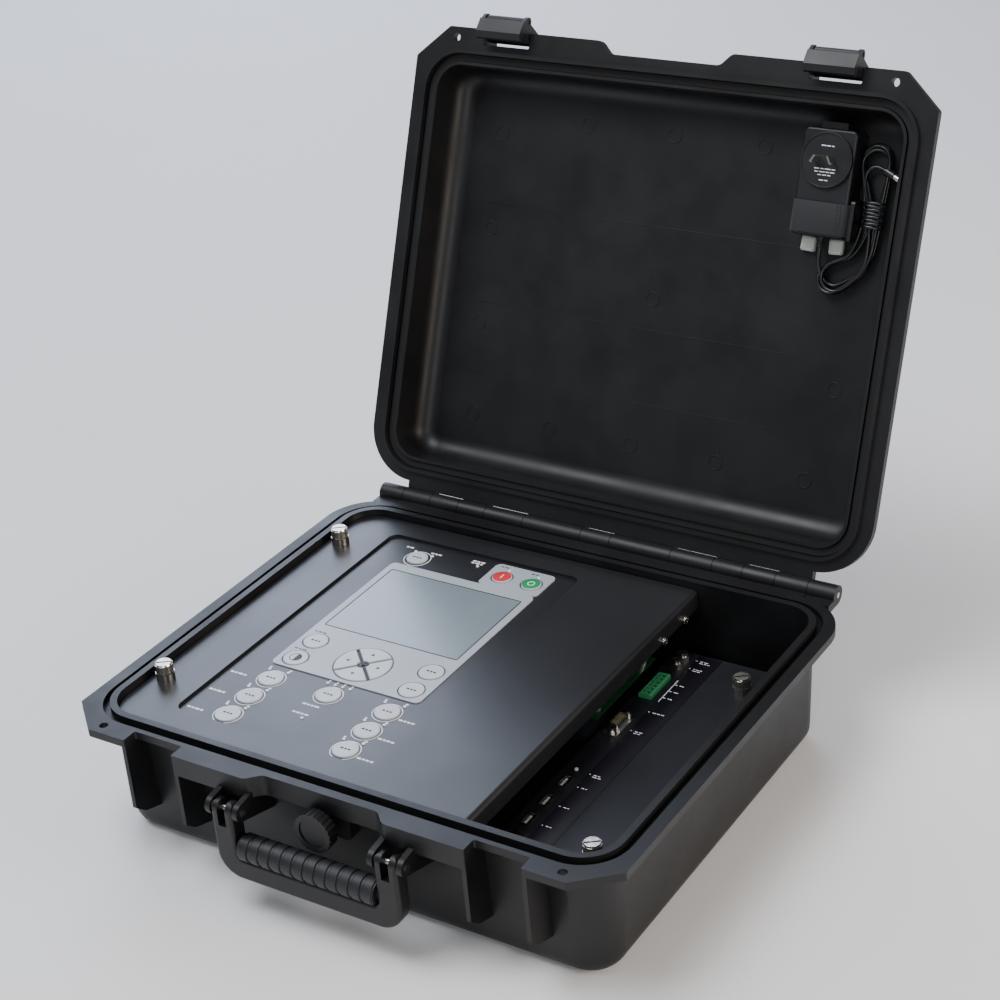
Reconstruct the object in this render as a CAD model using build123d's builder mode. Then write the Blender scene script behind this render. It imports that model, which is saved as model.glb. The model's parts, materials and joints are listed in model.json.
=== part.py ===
"""Portable relay-controller test set built into a waterproof case with its lid open.

Millimetres. The origin is the centre of the base's underside, +X to the user's right, +Y from the carrying
handle back to the hinge, +Z up. Heights written as rim_z + h are measured from the parting plane.
"""

from build123d import *
from math import cos, radians, sin, tan
import os

os.makedirs("parts", exist_ok=True)

# ---------------------------------------------------------------- case, overall
case_width = 474.0  # over the rim flanges, left to right
case_depth = 392.0  # over the rim flanges, front to back
base_height = 106.0  # floor to parting plane
lid_height = 43.0  # parting plane to the outside of the lid's roof
lid_opening = 112.0  # degrees from closed to the open stop
wall = 4.0
draft = 2.5  # degrees, on every moulded wall
parting_gap = 0.4  # between the closed flanges
flange_thick = 6.5
side_overhang = 17.0  # flange beyond the side walls
front_overhang = 24.0
back_overhang = 14.0
corner_radius = 30.0  # outside corners of the base's walls
bottom_radius = 14.0
flange_back_radius = 45.0

rim_z = base_height
front = -case_depth / 2
back = case_depth / 2
half_width = case_width / 2

# walls of the base and the cavity inside them, at the parting plane
tub_width = case_width - 2 * side_overhang
tub_front = front + front_overhang
tub_back = back - back_overhang
tub_depth = tub_back - tub_front
tub_mid = (tub_back + tub_front) / 2
cavity_width = tub_width - 2 * wall
cavity_depth = tub_depth - 2 * wall
cavity_corner = corner_radius - wall

# ---------------------------------------------------------------- rim seal
ridge_width = 5.5  # base's raised ring, pressed into the lid's gasket
ridge_height = 2.0
groove_width = 5.5  # base's groove outside the ridge
groove_depth = 5.0
seal_clear = 0.6
lid_lip = 3.0  # lid's inner lip, inside the gasket channel
gasket_channel = 5.6  # depth of that channel
tongue_height = 3.4
tongue_width = 3.0
bead_thick = 9.5  # lid flange where it carries the channel

# ---------------------------------------------------------------- hinge
hinge_setback = 14.0  # axis behind the flange's back edge
hinge_radius = 8.0
pin_radius = 2.5
running_clear = 0.08
knuckle_gap = 0.5
barrel_gap = 0.3  # barrels to the flanges' back edges
knuckle_widths = [24.0, 28.5, 28.5, 27.0, 38.5, 56.5]  # from the left end to beside the middle one
middle_knuckle = 28.0
hinge_y = back + hinge_setback
hinge_reach = hinge_radius + barrel_gap
hinge_strip = hinge_setback - hinge_reach + 2.0  # widens the flanges up to the barrels

# ---------------------------------------------------------------- flange outline, front edge
recess_half = 50.0  # recess for the handle
recess_depth = 10.0
tab_start = 60.0
latch_mid = 149.5  # middle of each latch, from the case's middle
latch_width = 43.0
notch_clear = 1.0
notch_inner = latch_mid - latch_width / 2 - notch_clear  # latch notch, from its inner to its outer side
notch_outer = latch_mid + latch_width / 2 + notch_clear
notch_depth = 13.0
chamfer_x = 30.5
chamfer_y = 27.0
padlock_x = 199.0
padlock_inset = 9.0
padlock_radius = 3.5
lip_height = 17.0  # skirt under the front edge
lip_thick = 3.0
rib_thick = 3.5
rib_drop = 70.0  # latch-bay ribs, below the parting plane

# ---------------------------------------------------------------- carrying handle
handle_pivot_y = front - 10.0
handle_pivot_z = rim_z - 22.0
handle_eye = 7.0
handle_half = 80.5  # outside of the arms
arm_width = 19.0
arm_slot = 7.0
arm_slot_depth = 12.0
lug_thick = 4.5
lug_gap = 0.5
grip_drop = 30.0  # grip axis below the pivot
grip_radius = 10.5
grip_core = 5.0
grip_rings = 12
bar_height = 18.0
handle_corner = 20.0
handle_edge = 3.0

# ---------------------------------------------------------------- pressure valve
valve_z = rim_z - 26.0
valve_seat_y = tub_front - 8.0
valve_boss_y = tub_front - 16.0
valve_boss_radius = 8.0
valve_shaft = 4.0
knob_radius = 16.0
knob_thick = 9.5
knob_gap = 2.5
knob_scallops = 24

# ---------------------------------------------------------------- latches, in the lid's closed position
latch_pivot_y = front + 6.0
latch_pivot_z = rim_z + 11.0
latch_eye = 4.5
latch_pin = 2.0
latch_rest = 25.0  # degrees that the arm hangs out from its latched place
lever_pin = 1.8
lever_pivot_y = latch_pivot_y - 7.5
lever_pivot_z = rim_z - 8.0
lever_width = 36.0
cheek_thick = 3.0

# ---------------------------------------------------------------- main panel and keypad
panel_drop = 4.0  # main panel's face below the parting plane
panel_thick = 2.5
panel_right = 110.0
panel_return = 16.0  # folded right edge
panel_clear = 1.4
keypad_left = -170.0
keypad_right = 15.0
keypad_front = -140.5
keypad_back = 155.0
keypad_corner = 8.0
overlay_margin = 8.0
overlay_thick = 1.6
fascia_thick = 0.8
window_proud = 0.8
key_clear = 0.3
key_outline = 1.1  # dark ring round each key where the silver film stops
key_proud = 1.5
key_height = 3.9
key_travel = 0.6
key_radius = 10.0
switch_radius = 8.5
nav_radius = 23.0
nav_hub = 5.0
nav_gap = 2.6
board_thick = 1.6
board_gap = 1.9  # overlay to circuit board

column_left = -129.0
column_mid = -74.5
column_right = -20.0
row_pitch = 26.9
row_top = -73.3
window_box = (-137.0, 10.2, -12.5, 104.7)  # left, front, right, back
fascia_box = (-144.0, -54.4, -5.0, 116.2)
switch_box = (-61.5, 116.2, -5.0, 150.9)

# ---------------------------------------------------------------- connector plate
plate_drop = 50.0  # its face below the parting plane
plate_thick = 2.5
plate_left = 101.0
plate_back = 156.0
plate_clear = 1.4
socket_x = 111.0
socket_clear = 0.15
usb_y = [-91.0, -66.0, -40.0]
lan_y = -114.0
led_y = -23.0
serial_y = 42.0
terminal_y = 99.0
jack_y = [136.0, 147.0]
usb_size = (7.4, 14.4, 13.0)  # X, Y, Z
lan_size = (15.0, 16.5, 15.0)
terminal_size = (11.0, 33.0, 18.0)
terminal_ways = 6
serial_flange = (12.6, 31.0)
serial_pitch = 25.0
jack_radius = 4.2

# ---------------------------------------------------------------- thumb screws and their posts
thumb_left_x = -203.0
thumb_right_x = 175.0
thumb_back_y = 123.0
thumb_front_y = -110.0
thumb_head = 7.0
thumb_head_height = 8.0
thumb_shank = 3.0
thumb_length = 18.0
ferrule_radius = 7.4
ferrule_height = 6.0
ferrule_gap = 0.3
post_size = 16.0
post_arm = 7.5

# ---------------------------------------------------------------- mains adapter in the lid
adapter_x = 146.0
adapter_front = -148.0
adapter_back = -63.0
adapter_width = 46.0
adapter_thick = 22.0
plug_face_radius = 22.0
plug_face_y = -123.0
plug_face_height = 2.2
blade_pitch = 13.7
blade_length = 12.0
strap_width = 25.0
strap_thick = 1.6
strap_mid_y = -78.0
strap_ear = 4.0
cord_diameter = 3.0
hank_halves = [10.5, 9.0, 8.2, 8.4, 10.5]  # at each point of its line
hank_thick = 11.0

lid_roof = rim_z + lid_height - wall


def turned(plane, y, z, degrees):
    """A plane turned about the line parallel to X through (y, z)."""
    swing = Location((0, y, z)) * Location((0, 0, 0), (degrees, 0, 0)) * Location((0, -y, -z))
    return Plane(swing * plane.location)


def in_lid(plane):
    """A plane of the closed lid, carried round the hinge with the open lid."""
    return turned(plane, hinge_y, rim_z, -lid_opening)


def in_latch(plane):
    """A plane of the latched arm, hung out to its rest angle on the open lid."""
    return in_lid(turned(plane, latch_pivot_y, latch_pivot_z, -latch_rest))


def level(height):
    """A horizontal plane."""
    return Plane.XY.offset(height)


def crosswise(x):
    """A plane square to X, with Y along its own x and Z up."""
    return Plane.YZ.offset(x)


def lengthwise(y):
    """A plane square to Y that faces the front, with X along its own x and Z up."""
    return Plane.XZ.offset(-y)


def ring(outer, inner):
    """Band round the cavity, between two distances from the cavity's edge."""
    with Locations((0, tub_mid)):
        RectangleRounded(cavity_width + 2 * outer, cavity_depth + 2 * outer, cavity_corner + outer)
        RectangleRounded(
            cavity_width + 2 * inner, cavity_depth + 2 * inner, cavity_corner + inner, mode=Mode.SUBTRACT
        )


def flange_outline():
    """Face of the rim flange: chamfered front tabs, latch notches, a handle recess, round back corners."""
    notch_y = front + notch_depth
    recess_y = front + recess_depth
    with BuildLine() as outline:
        FilletPolyline(
            (0, recess_y),
            (recess_half, recess_y),
            (tab_start, front),
            (notch_inner, front),
            (notch_inner, notch_y),
            (notch_outer, notch_y),
            (notch_outer, front),
            (half_width - chamfer_x, front),
            (half_width, front + chamfer_y),
            (half_width, back),
            (0, back),
            radius=[8.0, 8.0, 1.5, 1.5, 1.5, 1.5, 3.0, 3.0, flange_back_radius],
        )
        mirror(about=Plane.YZ)
    make_face(outline.edges())


def front_lip_face(inset):
    """Region behind the middle of the front edge, set in by a distance."""
    with BuildLine() as outline:
        FilletPolyline(
            (0, front + recess_depth + inset),
            (recess_half - 0.4 * inset, front + recess_depth + inset),
            (tab_start - 0.4 * inset, front + inset),
            (notch_inner - inset, front + inset),
            (notch_inner - inset, tub_front + 1.0),
            (0, tub_front + 1.0),
            radius=[8.0, 8.0, 1.0, 1.0],
        )
        mirror(about=Plane.YZ)
    make_face(outline.edges())


def knuckle_spans():
    """Left and right ends of every knuckle along the hinge, left to right."""
    widths = knuckle_widths + [middle_knuckle] + knuckle_widths[::-1]
    x = -sum(widths) / 2
    spans = []
    for width in widths:
        spans.append((x + knuckle_gap / 2, x + width - knuckle_gap / 2))
        x += width
    return spans


spans = knuckle_spans()
base_knuckles = spans[0::2]
lid_knuckles = spans[1::2]
hinge_half = -spans[0][0] + knuckle_gap / 2

# ================================================================ base shell
with BuildPart() as base_cavity:
    with BuildSketch(Plane(origin=(0, tub_mid, rim_z), z_dir=(0, 0, -1))):
        RectangleRounded(cavity_width, cavity_depth, cavity_corner)
    extrude(amount=base_height - wall, taper=draft)
    fillet(base_cavity.faces().sort_by(Axis.Z)[0].edges(), 6.0)
    with BuildSketch(level(rim_z)):
        with Locations((0, tub_mid)):
            RectangleRounded(cavity_width, cavity_depth, cavity_corner)
    extrude(amount=ridge_height + 1.0)

with BuildPart() as base_shell:
    with BuildSketch(Plane(origin=(0, tub_mid, rim_z), z_dir=(0, 0, -1))):
        RectangleRounded(tub_width, tub_depth, corner_radius)
    extrude(amount=base_height, taper=draft)
    fillet(base_shell.faces().sort_by(Axis.Z)[0].edges(), bottom_radius)
    with BuildSketch(level(rim_z)):
        flange_outline()
    extrude(amount=-flange_thick)
    with BuildSketch(level(rim_z)):
        front_lip_face(0)
        with BuildSketch(level(rim_z), mode=Mode.SUBTRACT):
            front_lip_face(lip_thick)
    extrude(amount=-lip_height)
    # raised ring round the mouth
    with BuildSketch(level(rim_z)):
        ring(ridge_width, 0)
    extrude(amount=ridge_height)
    with BuildSketch(level(rim_z)):
        ring(ridge_width + groove_width, ridge_width)
    extrude(amount=-groove_depth, mode=Mode.SUBTRACT)
    with BuildSketch(level(rim_z)):
        with Locations((0, hinge_y - hinge_reach - hinge_strip / 2)):
            Rectangle(2 * (hinge_half - knuckle_widths[0]), hinge_strip)
    extrude(amount=-flange_thick)
    # ribs each side of the latch bays
    for x in (notch_inner - rib_thick, notch_outer, -notch_inner, -notch_outer - rib_thick):
        with BuildSketch(crosswise(x)):
            Polygon(
                (tub_front + 2.0, rim_z - 5.0),
                (front + 0.5, rim_z - 5.0),
                (front + 0.5, rim_z - rib_drop + 8.0),
                (front + 10.0, rim_z - rib_drop),
                (tub_front + 5.0, rim_z - rib_drop - 6.0),
                align=None,
            )
        extrude(amount=rib_thick)
    # handle lugs, two each side
    for x in (handle_half - arm_width - lug_gap - lug_thick, handle_half + lug_gap):
        for start in (x, -x - lug_thick):
            with BuildSketch(crosswise(start)):
                with Locations((handle_pivot_y, handle_pivot_z)):
                    Circle(handle_eye)
                with Locations((tub_front + 1.8, handle_pivot_z - 2.0)):
                    Rectangle(1.6, 30.0)
                make_hull()
            extrude(amount=lug_thick)
    # hinge knuckles and their webs, below the parting plane
    for left, right in base_knuckles:
        with BuildSketch(crosswise(left)):
            with Locations((hinge_y, rim_z)):
                Circle(hinge_radius)
            with Locations((hinge_y - hinge_setback / 2 - 2.0, rim_z - hinge_radius / 2 - 0.4)):
                Rectangle(hinge_setback + 4.0, hinge_radius - 0.8)
        extrude(amount=right - left)
    with Locations(Location((0, hinge_y, rim_z), (0, 90, 0))):
        Cylinder(pin_radius, case_width, mode=Mode.SUBTRACT)
    with Locations(Location((0, handle_pivot_y, handle_pivot_z), (0, 90, 0))):
        Cylinder(pin_radius, case_width, mode=Mode.SUBTRACT)
    with Locations((padlock_x, front + padlock_inset, rim_z), (-padlock_x, front + padlock_inset, rim_z)):
        Cylinder(padlock_radius, 3 * flange_thick, mode=Mode.SUBTRACT)
    add(base_cavity.part, mode=Mode.SUBTRACT)
base_shell.part.label = "base_shell"
export_step(base_shell.part, "parts/base_shell.step")

# steel pins: one along the hinge, two through the handle lugs
handle_pin_length = arm_width + 2 * (lug_gap + lug_thick) + 1.0
with BuildPart() as pivot_pins:
    with Locations(Location((0, hinge_y, rim_z), (0, 90, 0))):
        Cylinder(pin_radius, 2 * hinge_half)
    for side in (-1, 1):
        x = side * (handle_half - arm_width / 2)
        with Locations(Location((x, handle_pivot_y, handle_pivot_z), (0, 90, 0))):
            Cylinder(pin_radius, handle_pin_length)
pivot_pins.part.label = "pivot_pins"
export_step(pivot_pins.part, "parts/pivot_pins.step")

# ================================================================ carrying handle
grip_z = handle_pivot_z - grip_drop
bar_top = grip_z - grip_radius + 2.5
inner_half = handle_half - arm_width
with BuildPart() as handle_frame:
    with BuildSketch(lengthwise(handle_pivot_y + handle_eye)):
        with BuildLine():
            FilletPolyline(
                (0, bar_top - bar_height),
                (handle_half, bar_top - bar_height),
                (handle_half, handle_pivot_z + handle_eye),
                (inner_half, handle_pivot_z + handle_eye),
                (inner_half, bar_top),
                (0, bar_top),
                radius=[handle_corner, handle_edge + 1.0, handle_edge + 1.0, handle_edge + 2.0],
            )
            mirror(about=Plane.YZ)
        make_face()
    extrude(amount=2 * handle_eye)
    fillet(handle_frame.faces().sort_by(Axis.Y)[0].edges(), handle_edge)
    fillet(handle_frame.faces().sort_by(Axis.Y)[-1].edges(), handle_edge)
    # round the eyes over
    with BuildSketch(crosswise(-case_width / 2)):
        with Locations((handle_pivot_y, handle_pivot_z + handle_eye)):
            Rectangle(4 * handle_eye, 2 * handle_eye)
        with Locations((handle_pivot_y, handle_pivot_z)):
            Circle(handle_eye, mode=Mode.SUBTRACT)
    extrude(amount=case_width, mode=Mode.SUBTRACT)
    for side in (-1, 1):
        with Locations((side * (handle_half - arm_width / 2), handle_pivot_y, handle_pivot_z)):
            Box(arm_slot, 3 * handle_eye, 2 * arm_slot_depth, mode=Mode.SUBTRACT)
    with Locations(Location((0, handle_pivot_y, handle_pivot_z), (0, 90, 0))):
        Cylinder(pin_radius + running_clear, case_width, mode=Mode.SUBTRACT)
    with Locations(Location((0, handle_pivot_y, grip_z), (0, 90, 0))):
        Cylinder(grip_core, 2 * inner_half + 2.0)
handle_frame.part.label = "handle_frame"
export_step(handle_frame.part, "parts/handle_frame.step")

grip_half = inner_half - 2.0
ring_pitch = 2 * grip_half / grip_rings
with BuildPart() as handle_grip:
    with Locations(Location((0, handle_pivot_y, grip_z), (0, 90, 0))):
        Cylinder(grip_radius - 1.0, 2 * grip_half)
    for n in range(grip_rings):
        x = -grip_half + (n + 0.5) * ring_pitch
        with Locations(Location((x, handle_pivot_y, grip_z), (0, 90, 0))):
            Cylinder(grip_radius, ring_pitch - 2.4)
    fillet(handle_grip.edges().filter_by(GeomType.CIRCLE).filter_by(lambda e: e.radius > grip_radius - 0.1), 0.8)
    add(handle_frame.part, mode=Mode.SUBTRACT)
handle_grip.part.label = "handle_grip"
export_step(handle_grip.part, "parts/handle_grip.step")

# ================================================================ pressure valve
with BuildPart() as valve_seat:
    with BuildSketch(lengthwise(tub_front + 0.6)):
        with Locations((0, valve_z - 1.0)):
            RectangleRounded(38.0, 26.0, 4.0)
    extrude(until=None, amount=tub_front + 0.6 - valve_seat_y)
    with BuildSketch(lengthwise(valve_seat_y)):
        with Locations((0, valve_z)):
            Circle(valve_boss_radius)
    extrude(amount=valve_seat_y - valve_boss_y)
    with BuildSketch(lengthwise(valve_boss_y)):
        with Locations((0, valve_z)):
            Circle(valve_shaft)
    extrude(amount=knob_gap + knob_thick - 2.0)
    add(base_shell.part, mode=Mode.SUBTRACT)
valve_seat.part.label = "valve_seat"
export_step(valve_seat.part, "parts/valve_seat.step")

knob_back_y = valve_boss_y - knob_gap
with BuildPart() as valve_knob:
    with BuildSketch(lengthwise(knob_back_y)):
        with Locations((0, valve_z)):
            Circle(knob_radius)
        with Locations((0, valve_z)):
            with PolarLocations(knob_radius + 0.6, knob_scallops):
                Circle(1.5, mode=Mode.SUBTRACT)
    extrude(amount=knob_thick)
    with BuildSketch(lengthwise(knob_back_y - knob_thick + 1.2)):
        with Locations((0, valve_z)):
            Circle(knob_radius - 4.5)
    extrude(amount=1.2, mode=Mode.SUBTRACT)
    with BuildSketch(lengthwise(knob_back_y)):
        with Locations((0, valve_z)):
            Circle(valve_shaft + running_clear)
    extrude(amount=knob_thick - 2.0 + 0.2, mode=Mode.SUBTRACT)
valve_knob.part.label = "valve_knob"
export_step(valve_knob.part, "parts/valve_knob.step")

# ================================================================ main panel
panel_top = rim_z - panel_drop
panel_under = panel_top - panel_thick
panel_left = -cavity_width / 2 + panel_clear
panel_front = tub_mid - cavity_depth / 2 + panel_clear
panel_back = tub_mid + cavity_depth / 2 - panel_clear
panel_corner = cavity_corner - panel_clear
keypad_mid = ((keypad_left + keypad_right) / 2, (keypad_front + keypad_back) / 2)
keypad_size = (keypad_right - keypad_left, keypad_back - keypad_front)
left_screws = [(thumb_left_x, thumb_back_y), (thumb_left_x, thumb_front_y)]
right_screws = [(thumb_right_x, thumb_back_y), (thumb_right_x, thumb_front_y)]
edge_screws = [(118.0, 14.0), (153.0, 14.0)]  # Y, and depth below the panel's face

with BuildPart() as main_panel:
    with BuildSketch(level(panel_under)) as outline:
        with Locations(((panel_left + panel_right) / 2, (panel_front + panel_back) / 2)):
            Rectangle(panel_right - panel_left, panel_back - panel_front)
        fillet(outline.vertices().group_by(Axis.X)[0], panel_corner)
    extrude(amount=panel_thick)
    with Locations((panel_right - panel_thick / 2, (panel_front + panel_back) / 2, panel_top - panel_return / 2)):
        Box(panel_thick, panel_back - panel_front, panel_return)
    fold = main_panel.edges().filter_by(Axis.Y).filter_by_position(Axis.X, panel_right - 0.1, panel_right + 0.1)
    fillet(fold.sort_by(Axis.Z)[-1], 4.0)
    with BuildSketch(level(panel_under)):
        with Locations(keypad_mid):
            RectangleRounded(*keypad_size, keypad_corner)
        with Locations(*left_screws):
            Circle(thumb_shank + 0.5)
    extrude(amount=panel_thick, mode=Mode.SUBTRACT)
main_panel.part.label = "main_panel"
export_step(main_panel.part, "parts/main_panel.step")

# ---------------------------------------------------------------- keypad layout
fast_rows = [row_top - n * row_pitch for n in range(3)]
round_keys = {
    "key_mode": (column_left, 129.9, 9.0),
    "key_close": (-46.5, 132.0, switch_radius),
    "key_open": (-18.5, 132.0, switch_radius),
    "key_panel": (column_left, -14.5, key_radius),
    "key_contrast": (column_left, -41.3, key_radius),
    "key_escape": (column_right, -13.5, key_radius),
    "key_enter": (column_right, -40.8, key_radius),
    "key_fast_left_1": (column_left, fast_rows[0], key_radius),
    "key_fast_left_2": (column_left, fast_rows[1], key_radius),
    "key_fast_left_3": (column_left, fast_rows[2], key_radius),
    "key_fast_mid": (column_mid, fast_rows[0], key_radius),
    "key_fast_right_1": (column_right, fast_rows[0], key_radius),
    "key_fast_right_2": (column_right, fast_rows[1], key_radius),
    "key_fast_right_3": (column_right, fast_rows[2], key_radius),
}
nav_centre = (column_mid, -27.1)
nav_keys = {"key_right": 0, "key_up": 90, "key_left": 180, "key_down": 270}


def nav_sector(angle, grow):
    """One quarter of the direction pad, pointing at an angle, grown by a clearance all round."""
    reach = 2 * nav_radius
    gap = nav_gap - 2 * grow
    with BuildSketch(mode=Mode.PRIVATE) as sector:
        Circle(nav_radius + grow)
        Circle(nav_hub - grow, mode=Mode.SUBTRACT)
        with BuildSketch(mode=Mode.INTERSECT):
            shift = gap / 2 * 2 ** 0.5
            Polygon((shift, 0), (shift + reach, reach), (shift + reach, -reach), align=None)
    with Locations(Location((*nav_centre, 0), (0, 0, angle))):
        add(sector.sketch)


overlay_top = panel_under
overlay_under = overlay_top - overlay_thick


def key_holes(gap):
    """Openings for every round key, with a gap all round."""
    for x, y, radius in round_keys.values():
        with Locations((x, y)):
            Circle(radius + gap)


def box_face(box, corner, grow=0.0):
    """Rounded rectangle from its left, front, right and back."""
    left, near, right, far = box
    with Locations(((left + right) / 2, (near + far) / 2)):
        RectangleRounded(right - left + 2 * grow, far - near + 2 * grow, corner + grow)


with BuildPart() as keypad_overlay:
    with BuildSketch(level(overlay_under)):
        with Locations(keypad_mid):
            RectangleRounded(
                keypad_size[0] + 2 * overlay_margin,
                keypad_size[1] + 2 * overlay_margin,
                keypad_corner,
            )
        with BuildSketch(level(overlay_under), mode=Mode.SUBTRACT):
            key_holes(key_clear)
            for angle in nav_keys.values():
                nav_sector(angle, key_clear)
            box_face(window_box, 2.0)
    extrude(amount=overlay_thick)
keypad_overlay.part.label = "keypad_overlay"
export_step(keypad_overlay.part, "parts/keypad_overlay.step")

with BuildPart() as display_fascia:
    with BuildSketch(level(overlay_top)):
        box_face(fascia_box, 5.0)
        box_face(switch_box, 5.0)
        with BuildSketch(level(overlay_top), mode=Mode.SUBTRACT):
            key_holes(key_outline)
            with Locations(nav_centre):
                Circle(nav_radius + key_outline)
            box_face(window_box, 2.0)
    extrude(amount=fascia_thick)
display_fascia.part.label = "display_fascia"
export_step(display_fascia.part, "parts/display_fascia.step")

with BuildPart() as display_window:
    with BuildSketch(level(overlay_under)):
        box_face(window_box, 2.0)
    extrude(amount=overlay_thick + window_proud)
display_window.part.label = "display_window"
export_step(display_window.part, "parts/display_window.step")

display_margin = 3.0
display_thick = 8.0
with BuildPart() as display_module:
    with BuildSketch(level(overlay_under - display_thick)):
        box_face(window_box, 2.0, display_margin)
    extrude(amount=display_thick)
display_module.part.label = "display_module"
export_step(display_module.part, "parts/display_module.step")

board_top = overlay_under - board_gap
with BuildPart() as keypad_board:
    with BuildSketch(level(board_top - board_thick)):
        with Locations(keypad_mid):
            Rectangle(keypad_size[0], keypad_size[1])
        with BuildSketch(level(board_top - board_thick), mode=Mode.SUBTRACT):
            box_face(window_box, 2.0, display_margin)
    extrude(amount=board_thick)
    # spacers that hold it off the overlay
    with BuildSketch(level(board_top)):
        with Locations(keypad_mid):
            with GridLocations(keypad_size[0] - 8.0, keypad_size[1] - 8.0, 2, 2):
                Circle(3.0)
    extrude(amount=board_gap)
keypad_board.part.label = "keypad_board"
export_step(keypad_board.part, "parts/keypad_board.step")

# ---------------------------------------------------------------- keys, each free to travel
key_top = overlay_top + key_proud
key_under = key_top - key_height
for name, (x, y, radius) in round_keys.items():
    with BuildPart() as key:
        with BuildSketch(level(key_under)):
            with Locations((x, y)):
                Circle(radius)
        extrude(amount=key_height)
        fillet(key.faces().sort_by(Axis.Z)[-1].edges(), 0.7)
    key.part.label = name
    export_step(key.part, "parts/" + name + ".step")
for name, angle in nav_keys.items():
    with BuildPart() as key:
        with BuildSketch(level(key_under)):
            nav_sector(angle, 0)
        extrude(amount=key_height)
        fillet(key.faces().sort_by(Axis.Z)[-1].edges(), 0.6)
    key.part.label = name
    export_step(key.part, "parts/" + name + ".step")

# ================================================================ connector plate and its sockets
plate_top = rim_z - plate_drop
plate_under = plate_top - plate_thick
wall_lean = plate_drop * tan(radians(draft))
plate_right = cavity_width / 2 - wall_lean - plate_clear
plate_front = tub_mid - cavity_depth / 2 + wall_lean + plate_clear
serial_shell = (8.4, 17.0)

with BuildPart() as connector_plate:
    with BuildSketch(level(plate_under)) as outline:
        with Locations(((plate_left + plate_right) / 2, (plate_front + plate_back) / 2)):
            Rectangle(plate_right - plate_left, plate_back - plate_front)
        fillet(outline.vertices().group_by(Axis.X)[-1].sort_by(Axis.Y)[0], cavity_corner)
    extrude(amount=plate_thick)
    with BuildSketch(level(plate_under)):
        with Locations(*right_screws):
            Circle(thumb_shank + 0.5)
        for y in usb_y:
            with Locations((socket_x, y)):
                Rectangle(usb_size[0] + 2 * socket_clear, usb_size[1] + 2 * socket_clear)
        with Locations((socket_x, lan_y)):
            Rectangle(lan_size[0] + 2 * socket_clear, lan_size[1] + 2 * socket_clear)
        with Locations((socket_x, terminal_y)):
            Rectangle(terminal_size[0] + 2 * socket_clear, terminal_size[1] + 2 * socket_clear)
        with Locations((socket_x, serial_y)):
            RectangleRounded(serial_shell[0] + 2 * socket_clear, serial_shell[1] + 2 * socket_clear, 2.0)
        for y in jack_y:
            with Locations((socket_x, y)):
                Circle(jack_radius + socket_clear)
    extrude(amount=plate_thick, mode=Mode.SUBTRACT)
connector_plate.part.label = "connector_plate"
export_step(connector_plate.part, "parts/connector_plate.step")

usb_proud = 1.0
with BuildPart() as usb_sockets:
    for y in usb_y:
        with Locations((socket_x, y, plate_top + usb_proud - usb_size[2] / 2)):
            Box(*usb_size)
        with Locations((socket_x, y, plate_top + usb_proud)):
            Box(usb_size[0] - 2.0, usb_size[1] - 2.0, 18.0, mode=Mode.SUBTRACT)
        with Locations((socket_x - 1.2, y, plate_top + usb_proud - usb_size[2] / 2 - 1.0)):
            Box(1.8, usb_size[1] - 3.4, usb_size[2] - 2.0)
usb_sockets.part.label = "usb_sockets"
export_step(usb_sockets.part, "parts/usb_sockets.step")

with BuildPart() as network_socket:
    with Locations((socket_x, lan_y, plate_top + usb_proud - lan_size[2] / 2)):
        Box(*lan_size)
    with Locations((socket_x - 1.5, lan_y, plate_top + usb_proud)):
        Box(8.0, 12.0, 20.0, mode=Mode.SUBTRACT)
    with Locations((socket_x + 3.5, lan_y, plate_top + usb_proud)):
        Box(4.0, 5.0, 20.0, mode=Mode.SUBTRACT)
network_socket.part.label = "network_socket"
export_step(network_socket.part, "parts/network_socket.step")

with BuildPart() as serial_socket:
    with BuildSketch(level(plate_top)):
        with Locations((socket_x, serial_y)):
            RectangleRounded(*serial_flange, 1.5)
    extrude(amount=0.9)
    with BuildSketch(level(plate_under - 6.0)):
        with Locations((socket_x, serial_y)):
            RectangleRounded(*serial_shell, 2.0)
    extrude(amount=6.0 + plate_thick + 6.0)
    with BuildSketch(level(plate_top + 6.0)):
        with Locations((socket_x, serial_y)):
            RectangleRounded(serial_shell[0] - 1.0, serial_shell[1] - 1.0, 1.5)
    extrude(amount=-4.5, mode=Mode.SUBTRACT)
    with BuildSketch(level(plate_top + 0.9)):
        for side in (-1, 1):
            with Locations((socket_x, serial_y + side * serial_pitch / 2)):
                RegularPolygon(2.7, 6)
    extrude(amount=4.6)
    with BuildSketch(level(plate_top + 1.5)):
        for row, count, shift in ((-1.4, 5, 0.0), (1.4, 4, 0.0)):
            with Locations((socket_x + row, serial_y + shift)):
                with GridLocations(1.0, 2.76, 1, count):
                    Circle(0.55)
    extrude(amount=3.6)
serial_socket.part.label = "serial_socket"
export_step(serial_socket.part, "parts/serial_socket.step")

terminal_proud = 4.0
way_pitch = terminal_size[1] / (terminal_ways + 0.6)
with BuildPart() as terminal_block:
    with Locations((socket_x, terminal_y, plate_top + terminal_proud - terminal_size[2] / 2)):
        Box(*terminal_size)
    chamfer(terminal_block.faces().sort_by(Axis.Z)[-1].edges().filter_by(Axis.Y), 1.0)
    with BuildSketch(level(plate_top + terminal_proud)):
        with Locations((socket_x + 1.6, terminal_y)):
            with GridLocations(1.0, way_pitch, 1, terminal_ways):
                Rectangle(3.6, way_pitch - 1.6)
        with Locations((socket_x - 2.8, terminal_y)):
            with GridLocations(1.0, way_pitch, 1, terminal_ways):
                Circle(1.5)
    extrude(amount=-5.0, mode=Mode.SUBTRACT)
terminal_block.part.label = "terminal_block"
export_step(terminal_block.part, "parts/terminal_block.step")

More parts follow.
